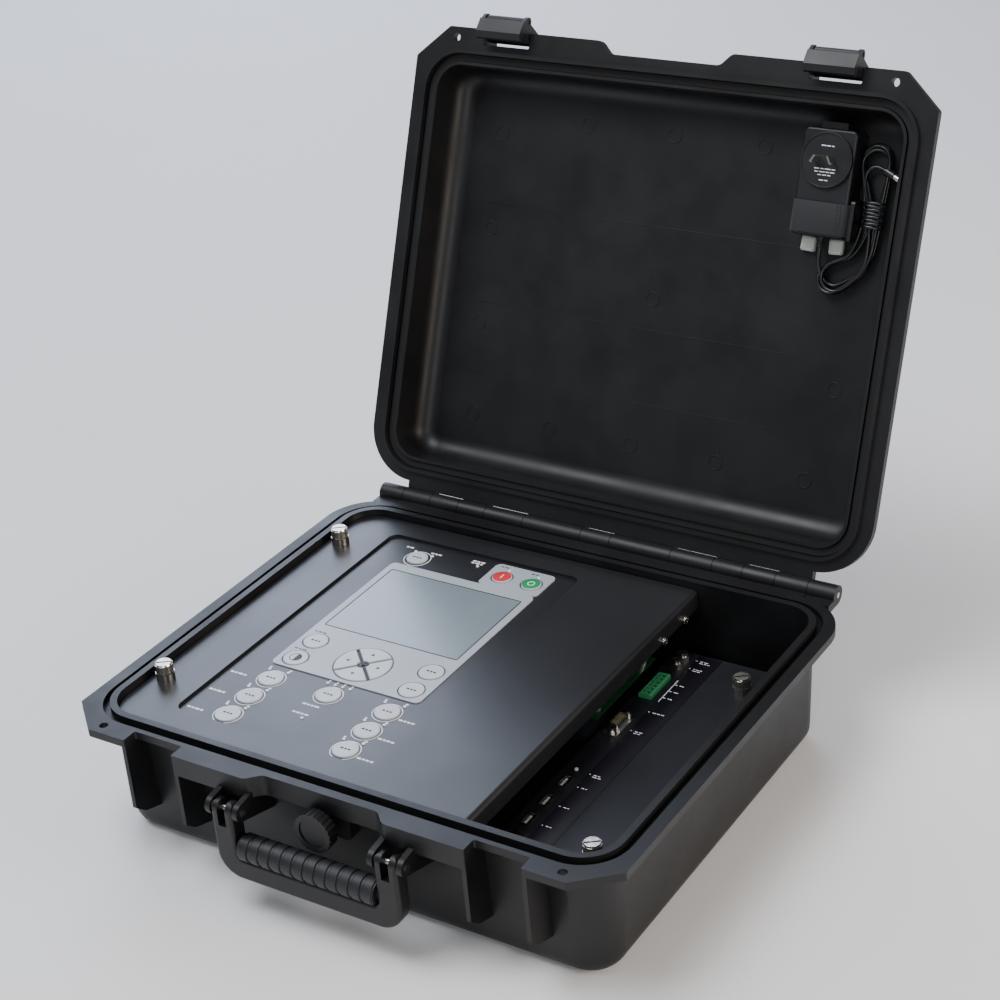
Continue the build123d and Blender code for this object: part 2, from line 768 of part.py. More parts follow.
with BuildPart() as power_jacks:
    for y in jack_y:
        with BuildSketch(level(plate_under - 8.0)):
            with Locations((socket_x, y)):
                Circle(jack_radius)
        extrude(amount=8.0 + plate_thick)
        with BuildSketch(level(plate_top)):
            with Locations((socket_x, y)):
                RegularPolygon(jack_radius + 0.9, 6)
        extrude(amount=2.6)
        with BuildSketch(level(plate_top + 2.6)):
            with Locations((socket_x, y)):
                Circle(jack_radius - 0.6)
        extrude(amount=3.0)
        with BuildSketch(level(plate_top + 5.6)):
            with Locations((socket_x, y)):
                Circle(2.3)
        extrude(amount=-9.0, mode=Mode.SUBTRACT)
power_jacks.part.label = "power_jacks"
export_step(power_jacks.part, "parts/power_jacks.step")

# ================================================================ screws and posts
with BuildPart() as panel_screws:
    # ferrules round the four thumb screws
    for spots, top in ((left_screws, panel_top), (right_screws, plate_top)):
        with BuildSketch(level(top)):
            with Locations(*spots):
                Circle(ferrule_radius)
                Circle(thumb_shank + running_clear, mode=Mode.SUBTRACT)
        extrude(amount=ferrule_height)
    # pan heads on the folded edge
    for y, depth in edge_screws:
        with Locations(Location((panel_right, y, panel_top - depth), (0, 90, 0))):
            Cylinder(3.4, 2.4, align=(Align.CENTER, Align.CENTER, Align.MIN))
panel_screws.part.label = "panel_screws"
export_step(panel_screws.part, "parts/panel_screws.step")

thumb_names = {
    "thumbscrew_back_left": (thumb_left_x, thumb_back_y, panel_top),
    "thumbscrew_front_left": (thumb_left_x, thumb_front_y, panel_top),
    "thumbscrew_back_right": (thumb_right_x, thumb_back_y, plate_top),
    "thumbscrew_front_right": (thumb_right_x, thumb_front_y, plate_top),
}
for name, (x, y, top) in thumb_names.items():
    head_under = top + ferrule_height + ferrule_gap
    with BuildPart() as screw:
        with BuildSketch(level(head_under)):
            with Locations((x, y)):
                Circle(thumb_head)
                with PolarLocations(thumb_head + 0.25, 30):
                    Circle(0.5, mode=Mode.SUBTRACT)
        extrude(amount=thumb_head_height - 1.2)
        with BuildSketch(level(head_under + thumb_head_height - 1.2)):
            with Locations((x, y)):
                Circle(thumb_head - 0.4)
        extrude(amount=1.2, taper=25)
        with BuildSketch(level(head_under)):
            with Locations((x, y)):
                Circle(thumb_shank)
        extrude(amount=-thumb_length)
        with Locations(Location((x, y, head_under + thumb_head_height), (0, 0, 35))):
            Box(2 * thumb_head + 2.0, 1.8, 5.0, mode=Mode.SUBTRACT)
    screw.part.label = name
    export_step(screw.part, "parts/" + name + ".step")

floor_top = wall
post_bore = 12.0
with BuildPart() as panel_posts:
    for x, y in right_screws:
        with Locations((x, y, (floor_top + plate_under) / 2)):
            Box(post_size, post_size, plate_under - floor_top)
        with Locations((x, y, plate_under)):
            Cylinder(thumb_shank + running_clear, 2 * post_bore, mode=Mode.SUBTRACT)
    for x, y in left_screws:
        post_x = x + post_size
        with Locations((post_x, y, (floor_top + panel_under) / 2)):
            Box(post_size * 0.75, post_size, panel_under - floor_top)
        with Locations((x + post_size / 2 - 2.0, y, panel_under - post_bore / 2)):
            Box(post_size + 4.0, post_size, post_bore)
        with Locations((x, y, panel_under)):
            Cylinder(thumb_shank + running_clear, 2 * post_bore + 2.0, mode=Mode.SUBTRACT)
panel_posts.part.label = "panel_posts"
export_step(panel_posts.part, "parts/panel_posts.step")

# ================================================================ modules inside the base
with BuildPart() as control_module:
    with Locations((0, 10, floor_top)):
        Box(180, 260, 32, align=(Align.CENTER, Align.CENTER, Align.MIN))
    fillet(control_module.edges().filter_by(Axis.Z), 4.0)
    with Locations((0, 10, floor_top + 32)):
        Box(176, 256, 1.6, align=(Align.CENTER, Align.CENTER, Align.MIN))
    with Locations((60, 60, floor_top + 33.6), (30, -60, floor_top + 33.6), (-40, 30, floor_top + 33.6)):
        Box(34, 34, 6, align=(Align.CENTER, Align.CENTER, Align.MIN))
control_module.part.label = "control_module"
export_step(control_module.part, "parts/control_module.step")

with BuildPart() as power_supply:
    with Locations((-137, -80, floor_top)):
        Box(84, 120, 38, align=(Align.CENTER, Align.CENTER, Align.MIN))
    chamfer(power_supply.faces().sort_by(Axis.Z)[-1].edges(), 3.0)
power_supply.part.label = "power_supply"
export_step(power_supply.part, "parts/power_supply.step")

with BuildPart() as backup_battery:
    with Locations((-137, 65, floor_top)):
        Box(70, 140, 60, align=(Align.CENTER, Align.CENTER, Align.MIN))
    fillet(backup_battery.edges().filter_by(Axis.Z), 3.0)
    with Locations((-155, 5, floor_top + 60), (-119, 5, floor_top + 60)):
        Box(6, 8, 5, align=(Align.CENTER, Align.CENTER, Align.MIN))
backup_battery.part.label = "backup_battery"
export_step(backup_battery.part, "parts/backup_battery.step")

# ================================================================ lid, built closed and carried open
lid_up = in_lid(Plane.XY).z_dir
lid_axis = Axis((0, 0, 0), lid_up)
lid_inset = 3.0  # lid's cavity edge inside the base's
lid_rim = rim_z + parting_gap

with BuildPart() as lid_cavity:
    with BuildSketch(in_lid(Plane(origin=(0, tub_mid, rim_z - tongue_height - 1.0)))):
        RectangleRounded(
            cavity_width - 2 * lid_inset, cavity_depth - 2 * lid_inset, cavity_corner - lid_inset
        )
    extrude(amount=lid_roof - rim_z + tongue_height + 1.0, taper=draft)
    fillet(lid_cavity.faces().sort_by(lid_axis)[-1].edges(), 16.0)

with BuildPart() as lid_shell:
    with BuildSketch(in_lid(Plane(origin=(0, tub_mid, lid_rim)))):
        RectangleRounded(
            cavity_width - 2 * lid_inset + 2 * wall,
            cavity_depth - 2 * lid_inset + 2 * wall,
            cavity_corner - lid_inset + wall,
        )
    extrude(amount=lid_height - parting_gap, taper=draft)
    fillet(lid_shell.faces().sort_by(lid_axis)[-1].edges(), 13.0)
    with BuildSketch(in_lid(level(lid_rim))):
        flange_outline()
    extrude(amount=flange_thick)
    with BuildSketch(in_lid(level(lid_rim))):
        with Locations((0, hinge_y - hinge_reach - hinge_strip / 2)):
            Rectangle(2 * (hinge_half - knuckle_widths[0]), hinge_strip)
    extrude(amount=flange_thick)
    with BuildSketch(in_lid(level(lid_rim))):
        ring(ridge_width + groove_width - 1.0, -lid_inset)
    extrude(amount=bead_thick)
    with BuildSketch(in_lid(level(lid_rim))):
        ring(ridge_width + seal_clear + 0.4 + tongue_width, ridge_width + seal_clear + 0.4)
    extrude(amount=-tongue_height)
    with BuildSketch(in_lid(level(lid_rim))):
        ring(ridge_width + seal_clear, -seal_clear)
    extrude(amount=gasket_channel, mode=Mode.SUBTRACT)
    # ribs each side of the latch bays
    for x in (notch_inner - rib_thick, notch_outer, -notch_inner, -notch_outer - rib_thick):
        with BuildSketch(in_lid(crosswise(x))):
            Polygon(
                (tub_front + 4.8, lid_rim + flange_thick - 0.5),
                (front + 0.5, lid_rim + flange_thick - 0.5),
                (front + 0.5, rim_z + 15.0),
                (front + 7.0, rim_z + 21.0),
                (tub_front + 5.6, rim_z + 30.0),
                align=None,
            )
        extrude(amount=rib_thick)
    # hinge knuckles and their webs, above the parting plane
    for left, right in lid_knuckles:
        with BuildSketch(in_lid(crosswise(left))):
            with Locations((hinge_y, rim_z)):
                Circle(hinge_radius)
            with Locations((hinge_y - hinge_setback / 2 - 2.0, rim_z + hinge_radius / 2 + 0.4)):
                Rectangle(hinge_setback + 4.0, hinge_radius - 0.8)
        extrude(amount=right - left)
    with BuildSketch(in_lid(crosswise(-half_width))):
        with Locations((hinge_y, rim_z)):
            Circle(pin_radius + running_clear)
    extrude(amount=case_width, mode=Mode.SUBTRACT)
    for side in (-1, 1):
        with BuildSketch(in_lid(crosswise(side * latch_mid - latch_width))):
            with Locations((latch_pivot_y, latch_pivot_z)):
                Circle(latch_pin)
        extrude(amount=2 * latch_width, mode=Mode.SUBTRACT)
    with BuildSketch(in_lid(level(rim_z - 1.0))):
        with Locations((padlock_x, front + padlock_inset), (-padlock_x, front + padlock_inset)):
            Circle(padlock_radius)
    extrude(amount=2 * flange_thick, mode=Mode.SUBTRACT)
    add(lid_cavity.part, mode=Mode.SUBTRACT)
lid_shell.part.label = "lid_shell"
export_step(lid_shell.part, "parts/lid_shell.step")

gasket_side = 0.5
with BuildPart() as lid_gasket:
    with BuildSketch(in_lid(level(lid_rim + gasket_channel))):
        ring(ridge_width + seal_clear - gasket_side, gasket_side - seal_clear)
    extrude(amount=-(gasket_channel + parting_gap - ridge_height - 0.5))
lid_gasket.part.label = "lid_gasket"
export_step(lid_gasket.part, "parts/lid_gasket.step")

with BuildPart() as latch_pins:
    for side in (-1, 1):
        start = side * latch_mid - (notch_outer - notch_inner) / 2 - rib_thick
        with BuildSketch(in_lid(crosswise(start))):
            with Locations((latch_pivot_y, latch_pivot_z)):
                Circle(latch_pin)
        extrude(amount=notch_outer - notch_inner + 2 * rib_thick)
latch_pins.part.label = "latch_pins"
export_step(latch_pins.part, "parts/latch_pins.step")

arm_back_y = latch_pivot_y + 4.0
arm_front_y = latch_pivot_y - 4.0
lever_clear = 0.06
for side, word in ((-1, "left"), (1, "right")):
    mid = side * latch_mid
    with BuildPart() as latch_arm:
        with BuildSketch(in_latch(crosswise(mid - latch_width / 2))):
            with Locations((latch_pivot_y, latch_pivot_z)):
                Circle(latch_eye)
            Polygon(
                (arm_front_y, latch_pivot_z),
                (arm_back_y, latch_pivot_z),
                (arm_back_y, rim_z - 8.0),
                (arm_back_y + 8.0, rim_z - 8.0),
                (arm_back_y + 8.0, rim_z - 11.0),
                (arm_back_y + 4.0, rim_z - 15.0),
                (arm_front_y, rim_z - 15.0),
                align=None,
            )
        extrude(amount=latch_width)
        for x in (mid - latch_width / 2, mid + latch_width / 2 - cheek_thick):
            with BuildSketch(in_latch(crosswise(x))):
                with Locations((lever_pivot_y, lever_pivot_z)):
                    Circle(4.0)
                with Locations((arm_front_y + 1.0, lever_pivot_z)):
                    Rectangle(1.6, 12.0)
                make_hull()
            extrude(amount=cheek_thick)
        # window behind the lever
        with BuildSketch(in_latch(crosswise(mid - 13.0))):
            with Locations(((arm_front_y + arm_back_y) / 2, rim_z - 1.0)):
                Rectangle(12.0, 9.0)
        extrude(amount=26.0, mode=Mode.SUBTRACT)
        with BuildSketch(in_latch(crosswise(mid - latch_width))):
            with Locations((latch_pivot_y, latch_pivot_z)):
                Circle(latch_pin + running_clear)
            with Locations((lever_pivot_y, lever_pivot_z)):
                Circle(lever_pin + lever_clear)
        extrude(amount=2 * latch_width, mode=Mode.SUBTRACT)
    latch_arm.part.label = "latch_arm_" + word
    export_step(latch_arm.part, "parts/latch_arm_" + word + ".step")

    with BuildPart() as latch_lever:
        with BuildSketch(in_latch(crosswise(mid - lever_width / 2))):
            with Locations((lever_pivot_y, lever_pivot_z)):
                Circle(3.0)
            Polygon(
                (lever_pivot_y - 3.0, lever_pivot_z),
                (lever_pivot_y + 0.6, lever_pivot_z),
                (lever_pivot_y + 0.6, rim_z + 18.0),
                (lever_pivot_y - 3.6, rim_z + 25.0),
                (lever_pivot_y - 6.6, rim_z + 24.0),
                (lever_pivot_y - 3.0, rim_z + 17.0),
                align=None,
            )
        extrude(amount=lever_width)
        trunnion = latch_width - 2 * 0.6
        with BuildSketch(in_latch(crosswise(mid - trunnion / 2))):
            with Locations((lever_pivot_y, lever_pivot_z)):
                Circle(lever_pin)
        extrude(amount=trunnion)
        for n in (-1, 0, 1):
            with BuildSketch(in_latch(crosswise(mid + n * 10.0 - 1.0))):
                with Locations((lever_pivot_y - 3.4, rim_z + 4.0)):
                    Rectangle(1.4, 16.0)
            extrude(amount=2.0)
    latch_lever.part.label = "latch_lever_" + word
    export_step(latch_lever.part, "parts/latch_lever_" + word + ".step")

# ================================================================ mains adapter, strapped to the roof
adapter_face = lid_roof - adapter_thick
adapter_mid_y = (adapter_front + adapter_back) / 2
cord_z = adapter_face + 11.0
with BuildPart() as adapter_body:
    with BuildSketch(in_lid(level(adapter_face))):
        with Locations((adapter_x, adapter_mid_y)):
            RectangleRounded(adapter_width, adapter_back - adapter_front, 5.0)
    extrude(amount=adapter_thick)
    fillet(adapter_body.faces().sort_by(lid_axis)[0].edges(), 2.5)
    with BuildSketch(in_lid(level(adapter_face))):
        with Locations((adapter_x, plug_face_y)):
            Circle(plug_face_radius)
    extrude(amount=-plug_face_height)
    with BuildSketch(in_lid(level(adapter_face + 6.0))):
        with Locations((adapter_x, adapter_front - 2.0)):
            Rectangle(22.0, 6.0)
    extrude(amount=10.0)
    # strain relief where the lead leaves
    with BuildSketch(in_lid(lengthwise(adapter_back))):
        with Locations((adapter_x, cord_z)):
            Circle(3.4)
    extrude(amount=-8.0, taper=8)
    # shallow pocket that the strap lies in
    with BuildSketch(in_lid(lengthwise(strap_mid_y + strap_width / 2 + 0.3))):
        with Locations((adapter_x, (adapter_face + lid_roof) / 2)):
            Rectangle(adapter_width + 8.0, adapter_thick)
            Rectangle(adapter_width - 1.0, adapter_thick - 1.0, mode=Mode.SUBTRACT)
    extrude(amount=strap_width + 0.6, mode=Mode.SUBTRACT)
adapter_body.part.label = "adapter_body"
export_step(adapter_body.part, "parts/adapter_body.step")

with BuildPart() as adapter_pins:
    for side in (-1, 1):
        with BuildSketch(in_lid(level(adapter_face - plug_face_height))):
            with Locations(Location((adapter_x + side * blade_pitch / 2, plug_face_y, 0), (0, 0, -side * 30))):
                Rectangle(1.6, 6.4)
        extrude(amount=-blade_length)
adapter_pins.part.label = "adapter_pins"
export_step(adapter_pins.part, "parts/adapter_pins.step")

strap_inner = adapter_width / 2 - 0.3
strap_outer = strap_inner + strap_thick
strap_low = adapter_face + 0.4
with BuildPart() as adapter_strap:
    with BuildSketch(in_lid(lengthwise(strap_mid_y + strap_width / 2))):
        with BuildLine():
            Polyline(
                (adapter_x - strap_outer - strap_ear, lid_roof),
                (adapter_x - strap_outer - strap_ear, lid_roof - strap_thick),
                (adapter_x - strap_outer, lid_roof - strap_thick),
                (adapter_x - strap_outer, strap_low - strap_thick),
                (adapter_x + strap_outer, strap_low - strap_thick),
                (adapter_x + strap_outer, lid_roof - strap_thick),
                (adapter_x + strap_outer + strap_ear, lid_roof - strap_thick),
                (adapter_x + strap_outer + strap_ear, lid_roof),
                (adapter_x + strap_inner, lid_roof),
                (adapter_x + strap_inner, strap_low),
                (adapter_x - strap_inner, strap_low),
                (adapter_x - strap_inner, lid_roof),
                close=True,
            )
        make_face()
    extrude(amount=strap_width)
    add(adapter_body.part, mode=Mode.SUBTRACT)
adapter_strap.part.label = "adapter_strap"
export_step(adapter_strap.part, "parts/adapter_strap.step")

buckle_x = adapter_x + strap_outer + 0.1
with BuildPart() as strap_buckle:
    with BuildSketch(in_lid(crosswise(buckle_x))):
        with Locations((strap_mid_y, lid_roof - strap_thick - 9.5)):
            RectangleRounded(strap_width + 8.0, 17.0, 3.0)
            RectangleRounded(strap_width + 1.0, 9.5, 1.5, mode=Mode.SUBTRACT)
            Rectangle(3.0, 12.0)
    extrude(amount=3.2)
strap_buckle.part.label = "strap_buckle"
export_step(strap_buckle.part, "parts/strap_buckle.step")

with BuildPart() as foam_pads:
    with BuildSketch(in_lid(level(lid_roof))):
        with Locations((adapter_x - 13.0, adapter_back + 6.5), (adapter_x + 11.0, adapter_back + 6.5)):
            RectangleRounded(12.0, 12.0, 1.5)
    extrude(amount=-6.0)
foam_pads.part.label = "foam_pads"
export_step(foam_pads.part, "parts/foam_pads.step")

# ---------------------------------------------------------------- low-voltage lead
exit_y = adapter_back + 8.0
lead_points = [
    (adapter_x, exit_y, cord_z),
    (adapter_x, exit_y + 7.0, cord_z),
    (adapter_x + 1.4, exit_y + 13.5, cord_z + 2.0),
    (adapter_x + 4.6, exit_y + 19.0, cord_z + 5.4),
]


def arc_radii(points):
    """Arc at each inner point: 0.45 of the shorter run over the tangent of half the turn."""
    radii = []
    for a, b, c in zip(points, points[1:], points[2:]):
        before = Vector(*b) - Vector(*a)
        after = Vector(*c) - Vector(*b)
        turn = radians(before.get_angle(after))
        radii.append(0.45 * min(before.length, after.length) / tan(turn / 2))
    return radii


lead_radii = arc_radii(lead_points)
print("lead radii", [round(r, 1) for r in lead_radii])
lead_origin = in_lid(Plane.XY)
lead_route = [lead_origin.from_local_coords(Vector(*p)) for p in lead_points]
with BuildPart() as cord_lead:
    with BuildLine() as lead_line:
        FilletPolyline(*lead_route, radius=lead_radii)
    with BuildSketch(Plane(origin=lead_line.line @ 0, z_dir=lead_line.line % 0)):
        Circle(cord_diameter / 2)
    sweep()
cord_lead.part.label = "cord_lead"
export_step(cord_lead.part, "parts/cord_lead.step")

plug_start = in_lid(Plane.XY).from_local_coords(Vector(190.5, -120.0, lid_roof - 6.5))
plug_way = in_lid(Plane.XY).from_local_coords(Vector(205.0, -113.5, lid_roof - 9.0)) - plug_start
plug_plane = Plane(origin=plug_start, z_dir=plug_way)
with BuildPart() as dc_plug:
    with BuildSketch(plug_plane):
        Circle(3.6)
    extrude(amount=8.0)
    with BuildSketch(plug_plane.offset(8.0)):
        Circle(2.75)
    extrude(amount=7.0)
    with BuildSketch(plug_plane.offset(15.0)):
        Circle(1.1)
    extrude(amount=-6.0, mode=Mode.SUBTRACT)
dc_plug.part.label = "dc_plug"
export_step(dc_plug.part, "parts/dc_plug.step")

hank_path = [(180.5, -132.0), (184.5, -98.0), (184.5, -72.0), (179.5, -44.0), (155.0, -30.0)]
with BuildPart() as cord_hank:
    for n in range(len(hank_path) - 1):
        with BuildSketch(in_lid(level(lid_roof))):
            with Locations(hank_path[n]):
                Circle(hank_halves[n])
            with Locations(hank_path[n + 1]):
                Circle(hank_halves[n + 1])
            make_hull()
        extrude(amount=-hank_thick)
    add(cord_lead.part, mode=Mode.SUBTRACT)
    add(dc_plug.part, mode=Mode.SUBTRACT)
cord_hank.part.label = "cord_hank"
export_step(cord_hank.part, "parts/cord_hank.step")
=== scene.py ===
"""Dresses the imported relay-controller test set and adds the pieces that give it its finished look."""

import json
import logging
from collections.abc import Callable, Iterator, Sequence
from contextlib import contextmanager
from dataclasses import dataclass, field
from enum import Enum
from math import cos, pi, radians, sin, tau
from typing import Any

import bpy
from mathutils import Matrix, Vector


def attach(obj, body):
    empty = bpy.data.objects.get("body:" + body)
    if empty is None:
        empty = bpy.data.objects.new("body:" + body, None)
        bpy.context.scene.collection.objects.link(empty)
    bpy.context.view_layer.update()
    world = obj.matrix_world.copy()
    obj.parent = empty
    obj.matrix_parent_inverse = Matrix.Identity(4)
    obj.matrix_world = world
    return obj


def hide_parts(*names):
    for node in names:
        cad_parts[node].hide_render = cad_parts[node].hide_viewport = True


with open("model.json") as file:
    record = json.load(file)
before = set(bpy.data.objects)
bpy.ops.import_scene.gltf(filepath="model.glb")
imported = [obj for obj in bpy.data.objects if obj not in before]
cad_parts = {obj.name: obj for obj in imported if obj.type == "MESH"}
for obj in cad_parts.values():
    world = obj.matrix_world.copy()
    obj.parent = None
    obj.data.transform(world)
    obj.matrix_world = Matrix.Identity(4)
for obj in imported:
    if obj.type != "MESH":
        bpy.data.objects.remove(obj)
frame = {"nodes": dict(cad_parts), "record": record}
LOG = logging.getLogger("test_set")
MM = 0.001
HINGE = (0.0, 0.210, 0.106)  # a point on the lid's axis, in metres
LID_TURN = -112.0  # from closed to open, about X, in degrees

Piece = bpy.types.Object
Face = bpy.types.MeshPolygon
Socket = bpy.types.NodeSocket
Point = tuple[float, float, float]
Spots = list[Sequence[float]]  # each X, Y, a turn in degrees and at times a stretch along X
Rows = list[tuple[float, float, Sequence[float]]]  # each a start in X, Y and the lengths of its strokes


# ---- colours and nodes


def linear(code: str) -> tuple[float, float, float, float]:
    """Turns an sRGB hex colour to linear.

    Args:
        code: Six hex digits after a hash.

    Returns:
        Red, green, blue and alpha, linear.
    """
    parts = [int(code[i : i + 2], 16) / 255 for i in (1, 3, 5)]
    tones = [p / 12.92 if p <= 0.04045 else ((p + 0.055) / 1.055) ** 2.4 for p in parts]
    return (tones[0], tones[1], tones[2], 1.0)


def add_node(
    tree: bpy.types.NodeTree, kind: str, settings: dict[str, Any], links: dict[str, Socket]
) -> bpy.types.Node:
    """Adds one node with its settings and links.

    Args:
        tree: The material's node tree.
        kind: The node's type name after its ShaderNode.
        settings: Values for its own properties, or for the inputs of those names.
        links: Output sockets to join to the inputs of those names.

    Returns:
        The new node.
    """
    node = tree.nodes.new("ShaderNode" + kind)
    for key, value in settings.items():
        if key in node.inputs:
            node.inputs[key].default_value = value
        else:
            setattr(node, key, value)
    for key, socket in links.items():
        tree.links.new(socket, node.inputs[int(key)] if key.isdigit() else node.inputs[key])
    return node


class Texture(Enum):
    """Ways a surface can be made, each with its own relief."""

    MOULDED = "moulded"
    SPRAYED = "sprayed"
    BRUSHED = "brushed"
    TURNED = "turned"
    WOVEN = "woven"
    FOAMED = "foamed"
    SMOOTH = "smooth"


@dataclass(frozen=True)
class Finish:
    """One real material with its surface, as a procedural shader."""

    name: str
    colour: str
    shade: str  # the colour that use and handling turn it to in patches
    roughness: float
    spread: float = 0.08  # how far roughness wanders
    metallic: float = 0.0
    ior: float = 1.5
    coat: float = 0.0
    coat_rough: float = 0.08
    sheen: float = 0.0
    texture: Texture = Texture.SMOOTH
    grain: float = 1.0  # relief pitch in millimetres
    depth: float = 0.05  # relief height in millimetres
    patch: float = 60.0  # size of the patches in millimetres

    def relief(self, tree: bpy.types.NodeTree, place: Socket) -> Socket:
        """Builds the height pattern of the surface.

        Args:
            tree: The material's node tree.
            place: Object coordinates.

        Returns:
            The socket that carries height from 0 to 1.
        """
        scale = 1.0 / (self.grain * MM)
        wave_scale = scale / tau * 2

        def pattern(kind: str, vector: Socket = place, **settings: Any) -> bpy.types.Node:
            """One node that draws over the coordinates."""
            return add_node(tree, kind, settings, {"Vector": vector})

        def combined(operation: str, first: Socket, second: Socket) -> Socket:
            """Joins two heights."""
            return add_node(tree, "Math", {"operation": operation}, {"0": first, "1": second}).outputs[0]

        if self.texture is Texture.MOULDED:
            cells = pattern("TexVoronoi", feature="SMOOTH_F1", Scale=scale, Smoothness=0.8)
            fine = pattern("TexNoise", Scale=scale * 0.55, Detail=3.0)
            return combined("MULTIPLY", cells.outputs["Distance"], fine.outputs["Fac"])
        if self.texture is Texture.SPRAYED:
            return pattern("TexNoise", Scale=scale, Detail=1.5, Roughness=0.4).outputs["Fac"]
        if self.texture is Texture.BRUSHED:
            drawn = pattern("Mapping", Scale=(1.0, 0.03, 1.0)).outputs[0]
            return pattern("TexNoise", drawn, Scale=scale, Detail=4.0).outputs["Fac"]
        if self.texture is Texture.TURNED:
            lines = pattern("TexWave", bands_direction="Z", Scale=wave_scale, Distortion=1.5, Detail=2.0)
            return lines.outputs["Fac"]
        if self.texture is Texture.WOVEN:
            warp = pattern("TexWave", bands_direction="X", Scale=wave_scale, Distortion=0.6)
            turned = pattern("Mapping", Rotation=(radians(68), 0.0, 0.0)).outputs[0]
            weft = pattern("TexWave", turned, bands_direction="Y", Scale=wave_scale, Distortion=0.6)
            return combined("MAXIMUM", warp.outputs["Fac"], weft.outputs["Fac"])
        if self.texture is Texture.FOAMED:
            return pattern("TexVoronoi", Scale=scale).outputs["Distance"]
        return pattern("TexNoise", Scale=scale, Detail=1.0).outputs["Fac"]

    def make(self) -> bpy.types.Material:
        """Builds the material once and returns it."""
        known = bpy.data.materials.get(self.name)
        if known is not None:
            return known
        material = bpy.data.materials.new(self.name)
        material.use_nodes = True
        tree = material.node_tree
        tree.nodes.clear()
        place = add_node(tree, "TexCoord", {}, {}).outputs["Object"]
        wander = {"Scale": 1.0 / (self.patch * MM), "Detail": 5.0, "Roughness": 0.6}
        patches = add_node(tree, "TexNoise", wander, {"Vector": place}).outputs["Fac"]
        tone = add_node(tree, "MapRange", {"From Min": 0.38, "From Max": 0.72}, {"Value": patches})
        colour = add_node(tree, "Mix", {"data_type": "RGBA"}, {"Factor": tone.outputs[0]})
        colour.inputs[6].default_value = linear(self.colour)
        colour.inputs[7].default_value = linear(self.shade)
        low, high = self.roughness - self.spread, self.roughness + self.spread
        reach = {"From Min": 0.3, "From Max": 0.7, "To Min": low, "To Max": high}
        rough = add_node(tree, "MapRange", reach, {"Value": patches})
        height = self.relief(tree, place)
        bump = add_node(tree, "Bump", {"Strength": 0.6, "Distance": self.depth * MM}, {"Height": height})
        shader = add_node(
            tree,
            "BsdfPrincipled",
            {
                "Metallic": self.metallic,
                "IOR": self.ior,
                "Coat Weight": self.coat,
                "Coat Roughness": self.coat_rough,
                "Sheen Weight": self.sheen,
            },
            {"Base Color": colour.outputs[2], "Roughness": rough.outputs[0], "Normal": bump.outputs[0]},
        )
        add_node(tree, "OutputMaterial", {}, {"Surface": shader.outputs[0]})
        return material


# Glass-filled polypropylene from a spark-textured mould: deep black, a fine pebble that scatters highlights.
# The real pebble is about 0.4 mm; it is drawn at 1.1 mm so that it shows.
CASE = Finish(
    "polypropylene_textured", "#0b0b0d", "#101113", 0.46, 0.07,
    ior=1.46, texture=Texture.MOULDED, grain=1.1,
)
# Satin black powder coat on folded steel: a soft broad highlight and a slight orange peel.
PANEL = Finish(
    "powder_coat_satin", "#17181b", "#1c1d20", 0.34, 0.04,
    ior=1.55, texture=Texture.SPRAYED, grain=1.6, depth=0.02, patch=120.0,
)
# Matt black powder coat on the lower plate.
PLATE = Finish(
    "powder_coat_matt", "#191a1f", "#1f2025", 0.42, 0.05,
    texture=Texture.SPRAYED, grain=1.2, depth=0.02,
)
# Velvet polyester film, screen printed from behind: black, even and slightly silky.
OVERLAY = Finish(
    "polyester_film_black", "#121317", "#16171b", 0.36, 0.04,
    ior=1.6, texture=Texture.SPRAYED, grain=0.9, depth=0.012, patch=90.0,
)
# The same film printed silver grey.
FASCIA = Finish(
    "polyester_film_silver", "#a9b0b8", "#a1a9b2", 0.4, 0.04,
    texture=Texture.SPRAYED, grain=0.9, depth=0.012,
)
# Embossed domes of the film, printed pale grey.
KEY = Finish(
    "polyester_film_pale", "#bfc4ca", "#b6bcc3", 0.38, 0.04,
    texture=Texture.SPRAYED, grain=0.9, depth=0.012,
)
# Bare aluminium extrusion and brackets, mill finish with drawing lines.
ALUMINIUM = Finish(
    "aluminium_mill", "#a9abad", "#9c9ea1", 0.36, 0.08, 1.0,
    texture=Texture.BRUSHED, grain=0.8, depth=0.02,
)
# Zinc-plated steel sheet, pale with a faint blue spangle.
ZINC = Finish(
    "zinc_plated_sheet", "#8f949a", "#7f848b", 0.42, 0.1, 1.0,
    texture=Texture.SPRAYED, grain=3.0, depth=0.01,
)
# Bright nickel on turned steel: sharp highlights over fine tool lines.
NICKEL = Finish(
    "nickel_turned", "#cfcac2", "#b9b4ab", 0.22, 0.08, 1.0,
    texture=Texture.TURNED, grain=0.7, depth=0.02, patch=6.0,
)
# Nickel on pressed sheet, for socket shells.
SHELL = Finish("nickel_pressed", "#c9c8c4", "#aeada9", 0.28, 0.08, 1.0, grain=4.0, depth=0.01, patch=5.0)
# Epoxy glass laminate under green solder mask: gloss with copper relief below.
LAMINATE = Finish(
    "solder_mask_green", "#0f3a22", "#0b2c1a", 0.3, 0.06,
    coat=0.4, texture=Texture.BRUSHED, grain=1.2, depth=0.03,
)
# Polyamide, moulded green.
POLYAMIDE = Finish("polyamide_green", "#3f9a68", "#388c5e", 0.36, 0.05, grain=1.5, depth=0.02)
# Soft thermoplastic rubber moulded on the grip: silky where hands polish it.
RUBBER = Finish(
    "rubber_matt", "#151518", "#1c1c20", 0.5, 0.06,
    texture=Texture.MOULDED, grain=0.9, depth=0.03,
)
# Foamed neoprene cord in the seal.
NEOPRENE = Finish("neoprene_foam", "#0a0a0b", "#101011", 0.8, 0.05, texture=Texture.FOAMED, grain=0.8)
# ABS housing of the mains adapter: satin black with a fine spark texture.
ABS = Finish("abs_satin", "#121316", "#18191c", 0.4, 0.06, texture=Texture.MOULDED, grain=0.8, depth=0.025)
